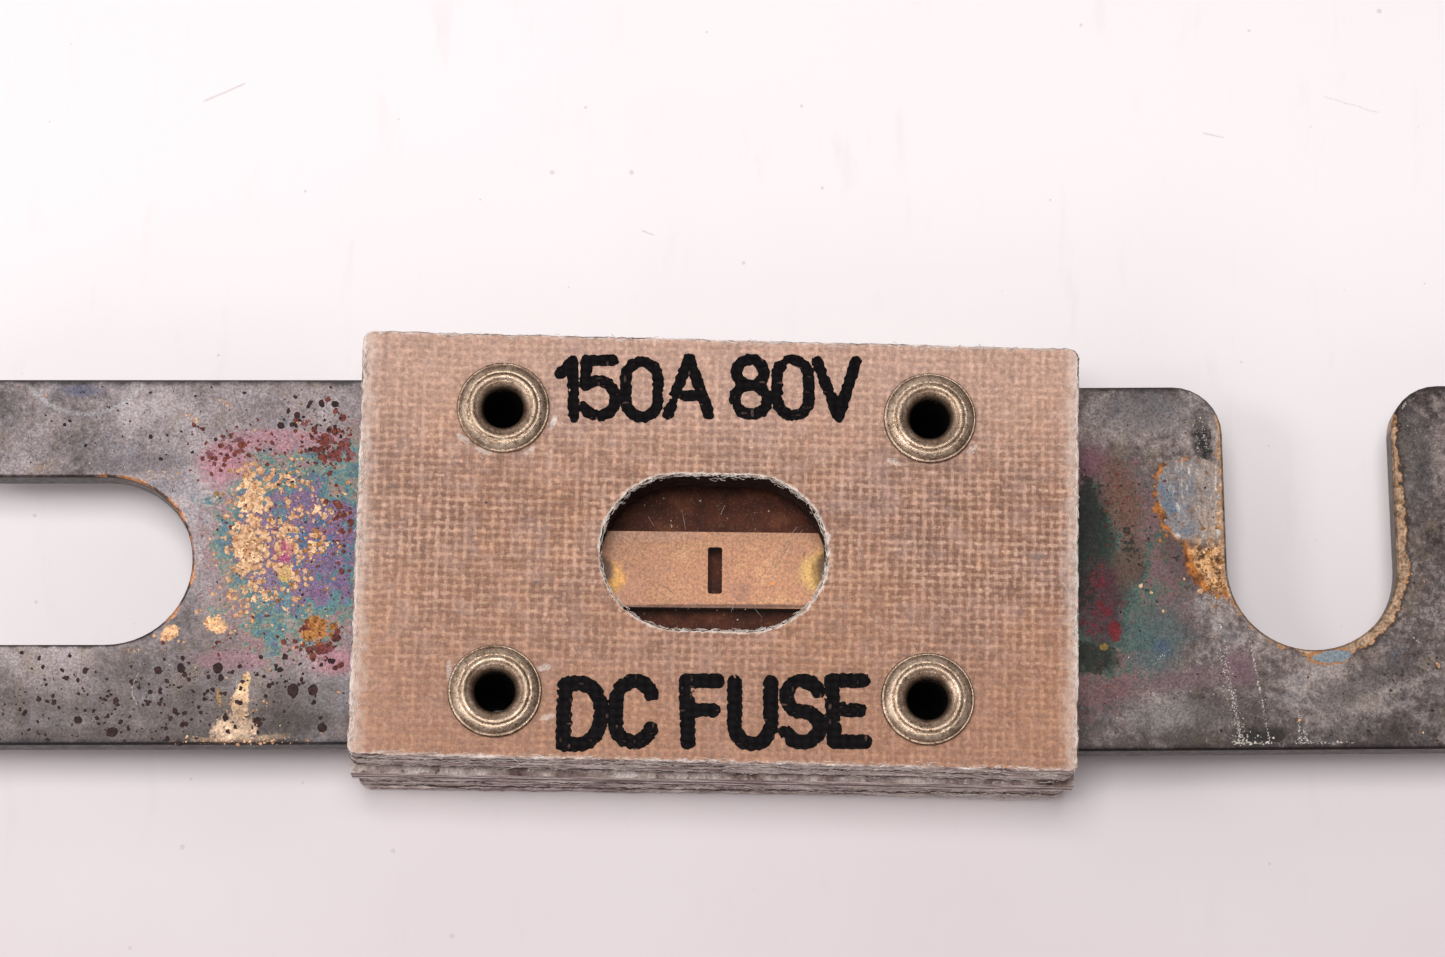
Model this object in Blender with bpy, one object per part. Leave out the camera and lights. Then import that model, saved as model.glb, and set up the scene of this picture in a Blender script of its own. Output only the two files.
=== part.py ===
# Bolt-down strip fuse. Two slotted terminal blades are joined by a narrow copper link, and a
# laminated body with a viewing window is clamped round the joint by four hollow eyelets.
# Frame: X along the blades, Y across them, +Z up. The origin is on the surface that the fuse
# lies on, below the middle of the length. Lengths are in metres, angles in degrees.

from math import cos, pi, radians, sin

import bmesh
import bpy
from mathutils import Matrix, Vector

# Terminal blades
BOLT_SPACING = 0.0616
SLOT_WIDTH = 0.00874
END_PRONG_WIDTH = 0.00523
BLADE_WIDTH = 0.01905
BLADE_THICKNESS = 0.0016
MOUTH_RADIUS = 0.0025
END_CORNER_RADIUS = 0.0008
BLADE_EDGE_BREAK = 0.00012
TERMINAL_TO_BODY = 0.0008

# Viewing window, with the room that the blades and spacers keep back from it
WINDOW_LENGTH = 0.01142
WINDOW_WIDTH = 0.00798
WINDOW_OFFSET = (-0.00018, -0.00018)
WINDOW_TO_BLADE = 0.00089
WINDOW_TO_SPACER = 0.00061

# Fuse link, lapped into a coined seat at the inner end of each blade
LINK_WIDTH = 0.00396
LINK_THICKNESS = 0.0004
LINK_LAP = 0.0030
LINK_SLOT_WIDTH = 0.00073
LINK_SLOT_LENGTH = 0.00243
LINK_SLOT_CORNER = 0.00012
LINK_SLOT_OFFSET = (0.00020, -0.00003)

# Laminated body
COVER_LENGTH = 0.03655
COVER_SIDE_MARGIN = 0.001455
COVER_THICKNESS = 0.0030
COVER_EDGE_BREAK = 0.00010
SHEET_THICKNESS = 0.0002

# Eyelets, placed from the edges and the inner ends of the blades that they go through
EYELET_TO_BLADE_END = 0.004235
EYELET_TO_BLADE_EDGE = 0.00228
EYELET_BORE_RADIUS = 0.00100
EYELET_WALL = 0.00025
FLANGE_RADIUS = 0.00233
FLANGE_RIM_THICKNESS = 0.00020
FLANGE_SLOPE_RISE = 0.00008
CREST_OUTER_RADIUS = 0.00184
CREST_RISE = 0.00014
FUNNEL_DEPTH = 0.00075
CLINCH_RADIUS = 0.00215
CLINCH_BEND_RADIUS = 0.00045

# Clearances, kept small because the sheets between the layers are so thin
SEAT_GAP = 0.00015
BLADE_SIDE_GAP = 0.00020
LAP_GAP = 0.00010
EYELET_HOLE_GAP = 0.00015
FLANGE_GAP = 0.00010

# How the real one was put together: every layer lies a little askew
LEFT_BLADE_SHIFT = 0.00021
RIGHT_BLADE_SHIFT = -0.00013
RIGHT_BLADE_TURN = 0.315
LINK_SHIFT = -0.00031
LINK_TURN = -0.67
BODY_SHIFT = 0.00026
TOP_COVER_TURN = -1.50
BOTTOM_COVER_TURN = -0.85
BOTTOM_COVER_SHIFT = -0.00008
FRONT_SPACER_OVERHANG = 0.00012
EYELETS_SHIFT = (0.00007, -0.00032)
EYELETS_TURN = -1.27

# Facets
FULL_CIRCLE_STEPS = 56
EYELET_STEPS = 32
CORNER_STEPS = 8
LINK_CORNER_STEPS = 3
RIM_STEPS = 4
CREST_STEPS = 3
FUNNEL_STEPS = 6
CLINCH_OUTER_STEPS = 5
CLINCH_INNER_STEPS = 3
SMOOTH_ANGLE = 35

# Sizes that follow from those above
blade_end = SLOT_WIDTH / 2 + END_PRONG_WIDTH
blade_gap = WINDOW_LENGTH + 2 * WINDOW_TO_BLADE
blade_reach = (BOLT_SPACING - blade_gap) / 2
terminal_reach = (BOLT_SPACING - COVER_LENGTH) / 2 - TERMINAL_TO_BODY
chamber_width = WINDOW_WIDTH + 2 * WINDOW_TO_SPACER
link_length = blade_gap + 2 * LINK_LAP
cover_width = BLADE_WIDTH + 2 * COVER_SIDE_MARGIN
eyelet_spacing_x = blade_gap + 2 * EYELET_TO_BLADE_END
eyelet_spacing_y = BLADE_WIDTH - 2 * EYELET_TO_BLADE_EDGE

# Heights of the stack above the surface, worked out from the thicknesses
bottom_cover_z = EYELET_WALL + FLANGE_GAP
backing_sheet_z = bottom_cover_z + COVER_THICKNESS + SEAT_GAP
blade_z = backing_sheet_z + SHEET_THICKNESS + SEAT_GAP
blade_top_z = blade_z + BLADE_THICKNESS
link_z = blade_top_z - LINK_THICKNESS
window_sheet_z = blade_top_z + SEAT_GAP
top_cover_z = window_sheet_z + SHEET_THICKNESS + SEAT_GAP
cover_top_z = top_cover_z + COVER_THICKNESS

# Levels of the body's layers, counted from the bottom cover
BOTTOM_COVER_LEVEL = 0
BACKING_SHEET_LEVEL = 1
SPACER_LEVEL = 2
WINDOW_SHEET_LEVEL = 3
TOP_COVER_LEVEL = 4

# A cutter reaches this far past what it cuts
CUT_MARGIN = 0.002

# Points at one height differ by less than this
LEVEL_TOLERANCE = 1e-9


# Placing

def place(x, y, turn):
    """Matrix of a piece's own frame, seen from above."""
    return Matrix.Translation((x, y, 0.0)) @ Matrix.Rotation(radians(turn), 4, "Z")


def layer_place(level):
    """The body's layers fan round evenly, from the bottom cover to the top one."""
    share = level / TOP_COVER_LEVEL
    turn = BOTTOM_COVER_TURN + (TOP_COVER_TURN - BOTTOM_COVER_TURN) * share
    return place(BODY_SHIFT, BOTTOM_COVER_SHIFT * (1.0 - share), turn)


def left_blade_place():
    """Frame of the left blade, on the centre of its bolt slot."""
    return place(-BOLT_SPACING / 2, LEFT_BLADE_SHIFT, 0.0)


def right_blade_place():
    """Frame of the right blade, on the centre of its bolt slot."""
    return place(BOLT_SPACING / 2, RIGHT_BLADE_SHIFT, RIGHT_BLADE_TURN)


def eyelet_centres():
    """World positions of the four eyelets' axes, by name."""
    pattern = place(EYELETS_SHIFT[0], EYELETS_SHIFT[1], EYELETS_TURN)
    centres = {}
    for side_name, side in (("left", -1), ("right", 1)):
        for row_name, row in (("front", -1), ("back", 1)):
            corner = Vector((side * eyelet_spacing_x / 2, row * eyelet_spacing_y / 2, 0.0))
            centres[f"{row_name}_{side_name}"] = pattern @ corner
    return centres


# Outlines, as lists of points that run anticlockwise

def arc(centre, radius, start, end, steps):
    """Points on an arc, both ends included."""
    points = []
    for step in range(steps + 1):
        angle = radians(start + (end - start) * step / steps)
        points.append((centre[0] + radius * cos(angle), centre[1] + radius * sin(angle)))
    return points


def rectangle(x_low, x_high, y_low, y_high):
    return [(x_low, y_low), (x_high, y_low), (x_high, y_high), (x_low, y_high)]


def centred_rectangle(length, width):
    return rectangle(-length / 2, length / 2, -width / 2, width / 2)


def rounded_rectangle(length, width, radius, steps):
    points = []
    corners = (((1, -1), -90), ((1, 1), 0), ((-1, 1), 90), ((-1, -1), 180))
    for (side_x, side_y), start in corners:
        centre = (side_x * (length / 2 - radius), side_y * (width / 2 - radius))
        points.extend(arc(centre, radius, start, start + 90, steps))
    return points


def obround(length, width):
    """Two half circles joined by straight sides."""
    reach = (length - width) / 2
    half_turn = FULL_CIRCLE_STEPS // 2
    right_end = arc((reach, 0.0), width / 2, -90, 90, half_turn)
    left_end = arc((-reach, 0.0), width / 2, 90, 270, half_turn)
    return right_end + left_end


def circle(radius, steps):
    return arc((0.0, 0.0), radius, 0, 360, steps)[:-1]


def end_slot_outline():
    """Left blade: the bolt slot runs out through its end. Origin on the slot's centre."""
    half_width = BLADE_WIDTH / 2
    half_slot = SLOT_WIDTH / 2
    corner_x = END_CORNER_RADIUS - blade_end
    corner_y = half_width - END_CORNER_RADIUS
    mouth_x = MOUTH_RADIUS - blade_end
    mouth_y = half_slot + MOUTH_RADIUS
    outline = [(blade_reach, -half_width), (blade_reach, half_width)]
    outline += arc((corner_x, corner_y), END_CORNER_RADIUS, 90, 180, CORNER_STEPS)
    outline += arc((mouth_x, mouth_y), MOUTH_RADIUS, 180, 270, CORNER_STEPS)
    outline += arc((0.0, 0.0), half_slot, 90, -90, FULL_CIRCLE_STEPS // 2)
    outline += arc((mouth_x, -mouth_y), MOUTH_RADIUS, 90, 180, CORNER_STEPS)
    outline += arc((corner_x, -corner_y), END_CORNER_RADIUS, 180, 270, CORNER_STEPS)
    return outline


def side_slot_outline():
    """Right blade: the bolt slot runs out through its back edge. Origin on the slot's centre."""
    half_width = BLADE_WIDTH / 2
    half_slot = SLOT_WIDTH / 2
    corner_x = blade_end - END_CORNER_RADIUS
    corner_y = half_width - END_CORNER_RADIUS
    mouth_x = half_slot + MOUTH_RADIUS
    mouth_y = half_width - MOUTH_RADIUS
    outline = [(-blade_reach, half_width), (-blade_reach, -half_width)]
    outline += arc((corner_x, -corner_y), END_CORNER_RADIUS, -90, 0, CORNER_STEPS)
    outline += arc((corner_x, corner_y), END_CORNER_RADIUS, 0, 90, CORNER_STEPS)
    outline += arc((mouth_x, mouth_y), MOUTH_RADIUS, 90, 180, CORNER_STEPS)
    outline += arc((0.0, 0.0), half_slot, 0, -180, FULL_CIRCLE_STEPS // 2)
    outline += arc((-mouth_x, mouth_y), MOUTH_RADIUS, 0, 90, CORNER_STEPS)
    return outline


def eyelet_profile():
    """Closed section of an eyelet as (radius, height) points: the rolled flange with its crest and
    funnel mouth above the top cover, the tube through the body, and the clinched end below it."""
    tube_radius = EYELET_BORE_RADIUS + EYELET_WALL
    seat = cover_top_z + FLANGE_GAP
    rim_radius = FLANGE_RIM_THICKNESS / 2
    rim_centre = (FLANGE_RADIUS - rim_radius, seat + rim_radius)
    slope_top = seat + FLANGE_RIM_THICKNESS + FLANGE_SLOPE_RISE
    crest_centre = (CREST_OUTER_RADIUS - CREST_RISE, slope_top)
    funnel_width = crest_centre[0] - EYELET_BORE_RADIUS
    funnel_base = slope_top + CREST_RISE - FUNNEL_DEPTH
    bend_centre = (EYELET_BORE_RADIUS + CLINCH_BEND_RADIUS, CLINCH_BEND_RADIUS)
    lip_radius = EYELET_WALL / 2
    lip_centre = (CLINCH_RADIUS - lip_radius, lip_radius)

    profile = [(tube_radius, seat)]
    profile += arc(rim_centre, rim_radius, -90, 90, RIM_STEPS)
    profile += arc(crest_centre, CREST_RISE, 0, 90, CREST_STEPS)
    for step in range(1, FUNNEL_STEPS + 1):
        angle = pi / 2 * step / FUNNEL_STEPS
        drop = FUNNEL_DEPTH * (1.0 - cos(angle))
        inset = funnel_width * sin(angle)
        profile.append((crest_centre[0] - inset, funnel_base + FUNNEL_DEPTH - drop))
    profile += arc(bend_centre, CLINCH_BEND_RADIUS, 180, 270, CLINCH_OUTER_STEPS)
    profile += arc(lip_centre, lip_radius, -90, 90, RIM_STEPS)
    profile += arc(bend_centre, CLINCH_BEND_RADIUS - EYELET_WALL, 270, 180, CLINCH_INNER_STEPS)
    return profile


# Making pieces

def finish(name, colour, metallic, roughness):
    """A plain Principled material in linear colour."""
    material = bpy.data.materials.new(name)
    material.use_nodes = True
    shader = material.node_tree.nodes["Principled BSDF"]
    shader.inputs["Base Color"].default_value = (*colour, 1.0)
    shader.inputs["Metallic"].default_value = metallic
    shader.inputs["Roughness"].default_value = roughness
    material.diffuse_color = (*colour, 1.0)
    return material


def add_object(name, shape, placing, height, parent, material):
    """Turn a bmesh into a named object, placed in its own frame at a height."""
    bmesh.ops.recalc_face_normals(shape, faces=shape.faces)
    mesh = bpy.data.meshes.new(name)
    shape.to_mesh(mesh)
    shape.free()
    piece = bpy.data.objects.new(name, mesh)
    piece.location = placing.to_translation() + Vector((0.0, 0.0, height))
    piece.rotation_euler = placing.to_euler()
    piece.parent = parent
    if material is not None:
        mesh.materials.append(material)
    bpy.context.scene.collection.objects.link(piece)
    return piece


def extrude_outline(shape, outline, thickness, edge_break):
    """Add the prism on an outline to a bmesh, with its upper and lower edges broken."""
    base = [shape.verts.new((x, y, 0.0)) for x, y in outline]
    lower = shape.faces.new(base)
    raised = bmesh.ops.extrude_face_region(shape, geom=[lower])
    top_verts = [item for item in raised["geom"] if isinstance(item, bmesh.types.BMVert)]
    bmesh.ops.translate(shape, verts=top_verts, vec=(0.0, 0.0, thickness))
    if edge_break > 0.0:
        level = []
        for edge in shape.edges:
            rise = abs(edge.verts[0].co.z - edge.verts[1].co.z)
            if rise < LEVEL_TOLERANCE:
                level.append(edge)
        bmesh.ops.bevel(shape, geom=level, offset=edge_break, segments=1, affect="EDGES")


def divide_faces(shape, x):
    """Part the faces along a line across the piece, so that each side has faces of its own."""
    everything = shape.verts[:] + shape.edges[:] + shape.faces[:]
    bmesh.ops.bisect_plane(shape, geom=everything, plane_co=(x, 0.0, 0.0), plane_no=(1.0, 0.0, 0.0))


def plate(name, outline, thickness, placing, height, parent, material, edge_break=0.0,
          divide_at=None):
    shape = bmesh.new()
    extrude_outline(shape, outline, thickness, edge_break)
    if divide_at is not None:
        divide_faces(shape, divide_at)
    return add_object(name, shape, placing, height, parent, material)


def cutter(name, outline, low, high, placing, parent):
    """A solid that only cuts others, shown as wires."""
    piece = plate(name, outline, high - low, placing, low, parent, None)
    piece.hide_render = True
    piece.display_type = "WIRE"
    return piece


def cut(piece, tool):
    boolean = piece.modifiers.new(tool.name, "BOOLEAN")
    boolean.operation = "DIFFERENCE"
    boolean.solver = "EXACT"
    boolean.object = tool


def turned_piece(name, profile, steps, placing, parent, material):
    """Sweep a closed (radius, height) section round the Z axis."""
    shape = bmesh.new()
    rings = []
    for step in range(steps):
        angle = 2 * pi * step / steps
        rings.append([shape.verts.new((r * cos(angle), r * sin(angle), z)) for r, z in profile])
    for step in range(steps):
        ring = rings[step]
        following = rings[(step + 1) % steps]
        for index in range(len(profile)):
            after = (index + 1) % len(profile)
            shape.faces.new((ring[index], following[index], following[after], ring[after]))
    piece = add_object(name, shape, placing, 0.0, parent, material)
    piece.data.shade_smooth()
    piece.data.set_sharp_from_angle(angle=radians(SMOOTH_ANGLE))
    return piece


# Cutters that several pieces share

def eyelet_hole_cutters(parent):
    radius = EYELET_BORE_RADIUS + EYELET_WALL + EYELET_HOLE_GAP
    tools = []
    for name, centre in eyelet_centres().items():
        placing = Matrix.Translation(centre)
        outline = circle(radius, EYELET_STEPS)
        high = cover_top_z + CUT_MARGIN
        tools.append(cutter(f"eyelet_hole_{name}", outline, -CUT_MARGIN, high, placing, parent))
    return tools


def link_seat_cutter(parent):
    """Clears the link's ends out of the top of both blades."""
    outline = centred_rectangle(link_length + 2 * LAP_GAP, LINK_WIDTH + 2 * LAP_GAP)
    placing = place(0.0, LINK_SHIFT, LINK_TURN)
    return cutter("link_seat", outline, link_z - LAP_GAP, blade_top_z + CUT_MARGIN, placing, parent)


def blade_clearance_cutters(parent):
    """The room that each blade takes between the spacers."""
    inner = blade_reach + BLADE_SIDE_GAP
    outer = blade_end + CUT_MARGIN
    half_width = BLADE_WIDTH / 2 + BLADE_SIDE_GAP
    low = blade_z - CUT_MARGIN
    high = blade_top_z + CUT_MARGIN
    left = rectangle(-outer, inner, -half_width, half_width)
    right = rectangle(-inner, outer, -half_width, half_width)
    return [
        cutter("left_blade_room", left, low, high, left_blade_place(), parent),
        cutter("right_blade_room", right, low, high, right_blade_place(), parent),
    ]


# The pieces

def make_blades(parent, material, holes, link_seat):
    """The faces are parted just outside the body: what lies beyond is the contact face that a
    busbar or a washer bears on."""
    blades = (
        ("blade_left", end_slot_outline(), left_blade_place(), terminal_reach),
        ("blade_right", side_slot_outline(), right_blade_place(), -terminal_reach),
    )
    for name, outline, placing, divide_at in blades:
        blade = plate(name, outline, BLADE_THICKNESS, placing, blade_z, parent, material,
                      BLADE_EDGE_BREAK, divide_at)
        for tool in holes + [link_seat]:
            cut(blade, tool)


def make_link(parent, material):
    placing = place(0.0, LINK_SHIFT, LINK_TURN)
    outline = centred_rectangle(link_length, LINK_WIDTH)
    link = plate("fuse_link", outline, LINK_THICKNESS, placing, link_z, parent, material)
    slot_outline = rounded_rectangle(LINK_SLOT_WIDTH, LINK_SLOT_LENGTH, LINK_SLOT_CORNER,
                                     LINK_CORNER_STEPS)
    slot_place = placing @ Matrix.Translation((LINK_SLOT_OFFSET[0], LINK_SLOT_OFFSET[1], 0.0))
    low = link_z - CUT_MARGIN
    high = blade_top_z + CUT_MARGIN
    cut(link, cutter("link_slot", slot_outline, low, high, slot_place, parent))


def make_covers(parent, material, holes):
    outline = centred_rectangle(COVER_LENGTH, cover_width)
    top_place = layer_place(TOP_COVER_LEVEL)
    top = plate("top_cover", outline, COVER_THICKNESS, top_place, top_cover_z, parent, material,
                COVER_EDGE_BREAK)
    bottom = plate("bottom_cover", outline, COVER_THICKNESS, layer_place(BOTTOM_COVER_LEVEL),
                   bottom_cover_z, parent, material, COVER_EDGE_BREAK)
    window_place = top_place @ Matrix.Translation((WINDOW_OFFSET[0], WINDOW_OFFSET[1], 0.0))
    window = cutter("window_hole", obround(WINDOW_LENGTH, WINDOW_WIDTH), window_sheet_z,
                    cover_top_z + CUT_MARGIN, window_place, parent)
    cut(top, window)
    for tool in holes:
        cut(top, tool)
        cut(bottom, tool)


def make_sheets(parent, clear, dark, holes):
    outline = centred_rectangle(COVER_LENGTH, cover_width)
    sheets = (
        ("window_sheet", WINDOW_SHEET_LEVEL, window_sheet_z, clear),
        ("backing_sheet", BACKING_SHEET_LEVEL, backing_sheet_z, dark),
    )
    for name, level, height, material in sheets:
        sheet = plate(name, outline, SHEET_THICKNESS, layer_place(level), height, parent, material)
        for tool in holes:
            cut(sheet, tool)


def make_spacers(parent, material, blade_rooms):
    """Each spacer is a rail beside the blades, with a tongue that fills the space between the
    blades' inner ends up to the link's chamber."""
    half_length = COVER_LENGTH / 2
    half_width = cover_width / 2
    half_chamber = chamber_width / 2
    back = rectangle(-half_length, half_length, half_chamber, half_width)
    front = rectangle(-half_length, half_length, -half_width - FRONT_SPACER_OVERHANG, -half_chamber)
    for name, outline in (("spacer_back", back), ("spacer_front", front)):
        spacer = plate(name, outline, BLADE_THICKNESS, layer_place(SPACER_LEVEL), blade_z, parent,
                       material)
        for tool in blade_rooms:
            cut(spacer, tool)


def make_eyelets(parent, material):
    profile = eyelet_profile()
    for name, centre in eyelet_centres().items():
        placing = Matrix.Translation(centre)
        turned_piece(f"eyelet_{name}", profile, EYELET_STEPS, placing, parent, material)


def build_fuse():
    fuse = bpy.data.objects.new("strip_fuse", None)
    bpy.context.scene.collection.objects.link(fuse)
    laminate = finish("laminate", (0.485, 0.283, 0.205), metallic=0.0, roughness=0.75)
    mica = finish("clear_mica", (0.80, 0.70, 0.62), metallic=0.0, roughness=0.12)
    fibre = finish("dark_fibre", (0.045, 0.015, 0.010), metallic=0.0, roughness=0.55)
    silver = finish("tarnished_silver", (0.16, 0.15, 0.155), metallic=1.0, roughness=0.42)
    copper = finish("link_copper", (0.58, 0.376, 0.223), metallic=1.0, roughness=0.38)
    nickel = finish("eyelet_nickel", (0.31, 0.285, 0.21), metallic=1.0, roughness=0.32)
    holes = eyelet_hole_cutters(fuse)
    make_covers(fuse, laminate, holes)
    make_spacers(fuse, laminate, blade_clearance_cutters(fuse))
    make_sheets(fuse, mica, fibre, holes)
    make_blades(fuse, silver, holes, link_seat_cutter(fuse))
    make_link(fuse, copper)
    make_eyelets(fuse, nickel)


for leftover in list(bpy.data.objects):
    bpy.data.objects.remove(leftover, do_unlink=True)
build_fuse()
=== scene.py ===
import math
import random

import bmesh
import bpy
import numpy as np
from mathutils import Matrix, Vector, noise


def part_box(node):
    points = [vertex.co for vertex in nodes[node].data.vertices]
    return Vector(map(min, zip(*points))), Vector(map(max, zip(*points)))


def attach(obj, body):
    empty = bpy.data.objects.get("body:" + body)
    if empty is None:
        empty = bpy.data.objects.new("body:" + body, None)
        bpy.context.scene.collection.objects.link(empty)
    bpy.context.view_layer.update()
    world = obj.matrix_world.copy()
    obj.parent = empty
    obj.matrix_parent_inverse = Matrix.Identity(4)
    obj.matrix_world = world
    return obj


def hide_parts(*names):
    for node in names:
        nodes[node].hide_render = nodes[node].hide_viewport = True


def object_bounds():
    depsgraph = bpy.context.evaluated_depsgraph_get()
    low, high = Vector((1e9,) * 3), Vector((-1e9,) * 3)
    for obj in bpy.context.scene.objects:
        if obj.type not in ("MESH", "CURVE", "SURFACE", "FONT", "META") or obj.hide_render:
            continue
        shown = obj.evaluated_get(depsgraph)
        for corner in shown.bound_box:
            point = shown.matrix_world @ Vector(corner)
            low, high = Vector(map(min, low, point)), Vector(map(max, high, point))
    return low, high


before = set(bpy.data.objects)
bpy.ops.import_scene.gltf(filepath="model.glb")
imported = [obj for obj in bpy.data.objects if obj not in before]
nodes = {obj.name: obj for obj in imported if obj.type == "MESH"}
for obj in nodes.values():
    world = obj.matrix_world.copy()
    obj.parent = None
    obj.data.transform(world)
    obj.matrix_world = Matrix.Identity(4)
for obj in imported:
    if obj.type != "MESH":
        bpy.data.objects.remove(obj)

scene = bpy.context.scene
cadLow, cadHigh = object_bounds()
mm = 0.001

# The stack as it was packed, read from the nodes' boxes
tableLevel = cadLow.z / mm
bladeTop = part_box("blade_left")[1].z / mm
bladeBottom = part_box("blade_left")[0].z / mm
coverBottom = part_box("top_cover")[0].z / mm
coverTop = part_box("top_cover")[1].z / mm
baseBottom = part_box("bottom_cover")[0].z / mm
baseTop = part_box("bottom_cover")[1].z / mm

eyeletNodes = [f"eyelet_{row}_{side}" for row in ("front", "back") for side in ("left", "right")]
print("frame loaded:", len(nodes), "nodes")


# Node helpers

def addNode(tree, kind, **settings):
    made = tree.nodes.new(kind)
    for name, value in settings.items():
        setattr(made, name, value)
    return made


def feed(tree, socket, value):  # a socket is linked, a plain value is set
    if isinstance(value, bpy.types.NodeSocket):
        tree.links.new(value, socket)
    else:
        socket.default_value = value


def maths(tree, operation, *values, clamp=False):
    made = addNode(tree, "ShaderNodeMath", operation=operation, use_clamp=clamp)
    for socket, value in zip(made.inputs, values):
        feed(tree, socket, value)
    return made.outputs[0]


def times(tree, first, second):
    return maths(tree, "MULTIPLY", first, second)


def plus(tree, first, second):
    return maths(tree, "ADD", first, second)


def less(tree, first, second):
    return maths(tree, "SUBTRACT", first, second)


def timesPlus(tree, first, second, third, clamp=False):
    return maths(tree, "MULTIPLY_ADD", first, second, third, clamp=clamp)


def larger(tree, first, second):
    return maths(tree, "MAXIMUM", first, second)


def smaller(tree, first, second):
    return maths(tree, "MINIMUM", first, second)


def absolute(tree, value):
    return maths(tree, "ABSOLUTE", value)


def vectors(tree, operation, *values):
    made = addNode(tree, "ShaderNodeVectorMath", operation=operation)
    for socket, value in zip(made.inputs, values):
        feed(tree, socket, value)
    return made.outputs["Value" if operation in ("LENGTH", "DOT_PRODUCT") else "Vector"]


def stretched(tree, vector, factors):
    return vectors(tree, "MULTIPLY", vector, factors)


def scaled(tree, vector, factor):
    made = addNode(tree, "ShaderNodeVectorMath", operation="SCALE")
    feed(tree, made.inputs["Vector"], vector)
    feed(tree, made.inputs["Scale"], factor)
    return made.outputs["Vector"]


def mixed(tree, factor, under, over, mode="MIX"):
    made = addNode(tree, "ShaderNodeMix", data_type="RGBA", blend_type=mode)
    feed(tree, made.inputs[0], factor)
    feed(tree, made.inputs[6], under)
    feed(tree, made.inputs[7], over)
    return made.outputs[2]


def shaded(tree, colour, shade):  # the colour times a grey
    return mixed(tree, 1.0, colour, joined(tree, shade, shade, shade), "MULTIPLY")


def step(tree, value, low, high, fromValue=0.0, toValue=1.0):  # smooth step between two levels
    made = addNode(tree, "ShaderNodeMapRange", interpolation_type="SMOOTHSTEP")
    for socket, given in zip(made.inputs, (value, low, high, fromValue, toValue)):
        feed(tree, socket, given)
    return made.outputs[0]


def grain(tree, vector, scale, seed=0.0, detail=3.0, roughness=0.55):
    made = addNode(tree, "ShaderNodeTexNoise", noise_dimensions="4D")
    feed(tree, made.inputs["Vector"], vector)
    feed(tree, made.inputs["W"], seed)
    feed(tree, made.inputs["Scale"], scale)
    made.inputs["Detail"].default_value = detail
    made.inputs["Roughness"].default_value = roughness
    return made.outputs["Fac"]


def fromFrame(tree, vector, centre, turn, size=(1.0, 1.0, 1.0)):  # coordinates about a centre
    made = addNode(tree, "ShaderNodeMapping", vector_type="TEXTURE")
    feed(tree, made.inputs["Vector"], vector)
    feed(tree, made.inputs["Location"], centre)
    feed(tree, made.inputs["Rotation"], turn)
    feed(tree, made.inputs["Scale"], size)
    return made.outputs[0]


def split(tree, vector):
    made = addNode(tree, "ShaderNodeSeparateXYZ")
    feed(tree, made.inputs[0], vector)
    return made.outputs


def coordinate(tree, vector, index):  # 0, 1 or 2 for x, y or z
    axis = [0.0, 0.0, 0.0]
    axis[index] = 1.0
    return vectors(tree, "DOT_PRODUCT", vector, axis)


def joined(tree, x, y, z):
    made = addNode(tree, "ShaderNodeCombineXYZ")
    for socket, value in zip(made.inputs, (x, y, z)):
        feed(tree, socket, value)
    return made.outputs[0]


def ramp(tree, factor, stops):
    made = addNode(tree, "ShaderNodeValToRGB")
    feed(tree, made.inputs[0], factor)
    band = made.color_ramp
    while len(band.elements) < len(stops):
        band.elements.new(0.5)
    for element, (position, colour) in zip(band.elements, stops):
        element.position = position
        element.color = tint(*colour)
    return made.outputs["Color"]


def bumped(tree, height, strength, depth):
    made = addNode(tree, "ShaderNodeBump")
    made.inputs["Strength"].default_value = strength
    made.inputs["Distance"].default_value = depth * mm
    feed(tree, made.inputs["Height"], height)
    return made.outputs["Normal"]


def tint(red, green, blue):  # a screen colour, 0 to 255, as linear light
    linear = []
    for value in (red, green, blue):
        share = value / 255
        linear.append(share / 12.92 if share < 0.04045 else ((share + 0.055) / 1.055) ** 2.4)
    return (*linear, 1.0)


def startGroup(name, inputs, outputs):
    tree = bpy.data.node_groups.new(name, "ShaderNodeTree")
    for label, default in inputs.items():
        kind = "NodeSocketVector" if isinstance(default, tuple) else "NodeSocketFloat"
        tree.interface.new_socket(name=label, in_out="INPUT", socket_type=kind).default_value = default
    for label in outputs:
        tree.interface.new_socket(name=label, in_out="OUTPUT", socket_type="NodeSocketFloat")
    given = addNode(tree, "NodeGroupInput").outputs
    result = addNode(tree, "NodeGroupOutput").inputs
    return tree, given, result


def useGroup(tree, group, values):
    made = addNode(tree, "ShaderNodeGroup", node_tree=group)
    for label, value in values.items():
        feed(tree, made.inputs[label], value)
    return made.outputs


def startMaterial(name, metallic, roughness, sheen=0.5):
    made = bpy.data.materials.new(name)
    made.use_nodes = True
    tree = made.node_tree
    shader = tree.nodes["Principled BSDF"]
    shader.inputs["Metallic"].default_value = metallic
    shader.inputs["Roughness"].default_value = roughness
    shader.inputs["Specular IOR Level"].default_value = sheen
    place = scaled(tree, addNode(tree, "ShaderNodeTexCoord").outputs["Object"], 1.0 / mm)
    return made, tree, shader.inputs, place


# Shader groups that the materials share

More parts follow.
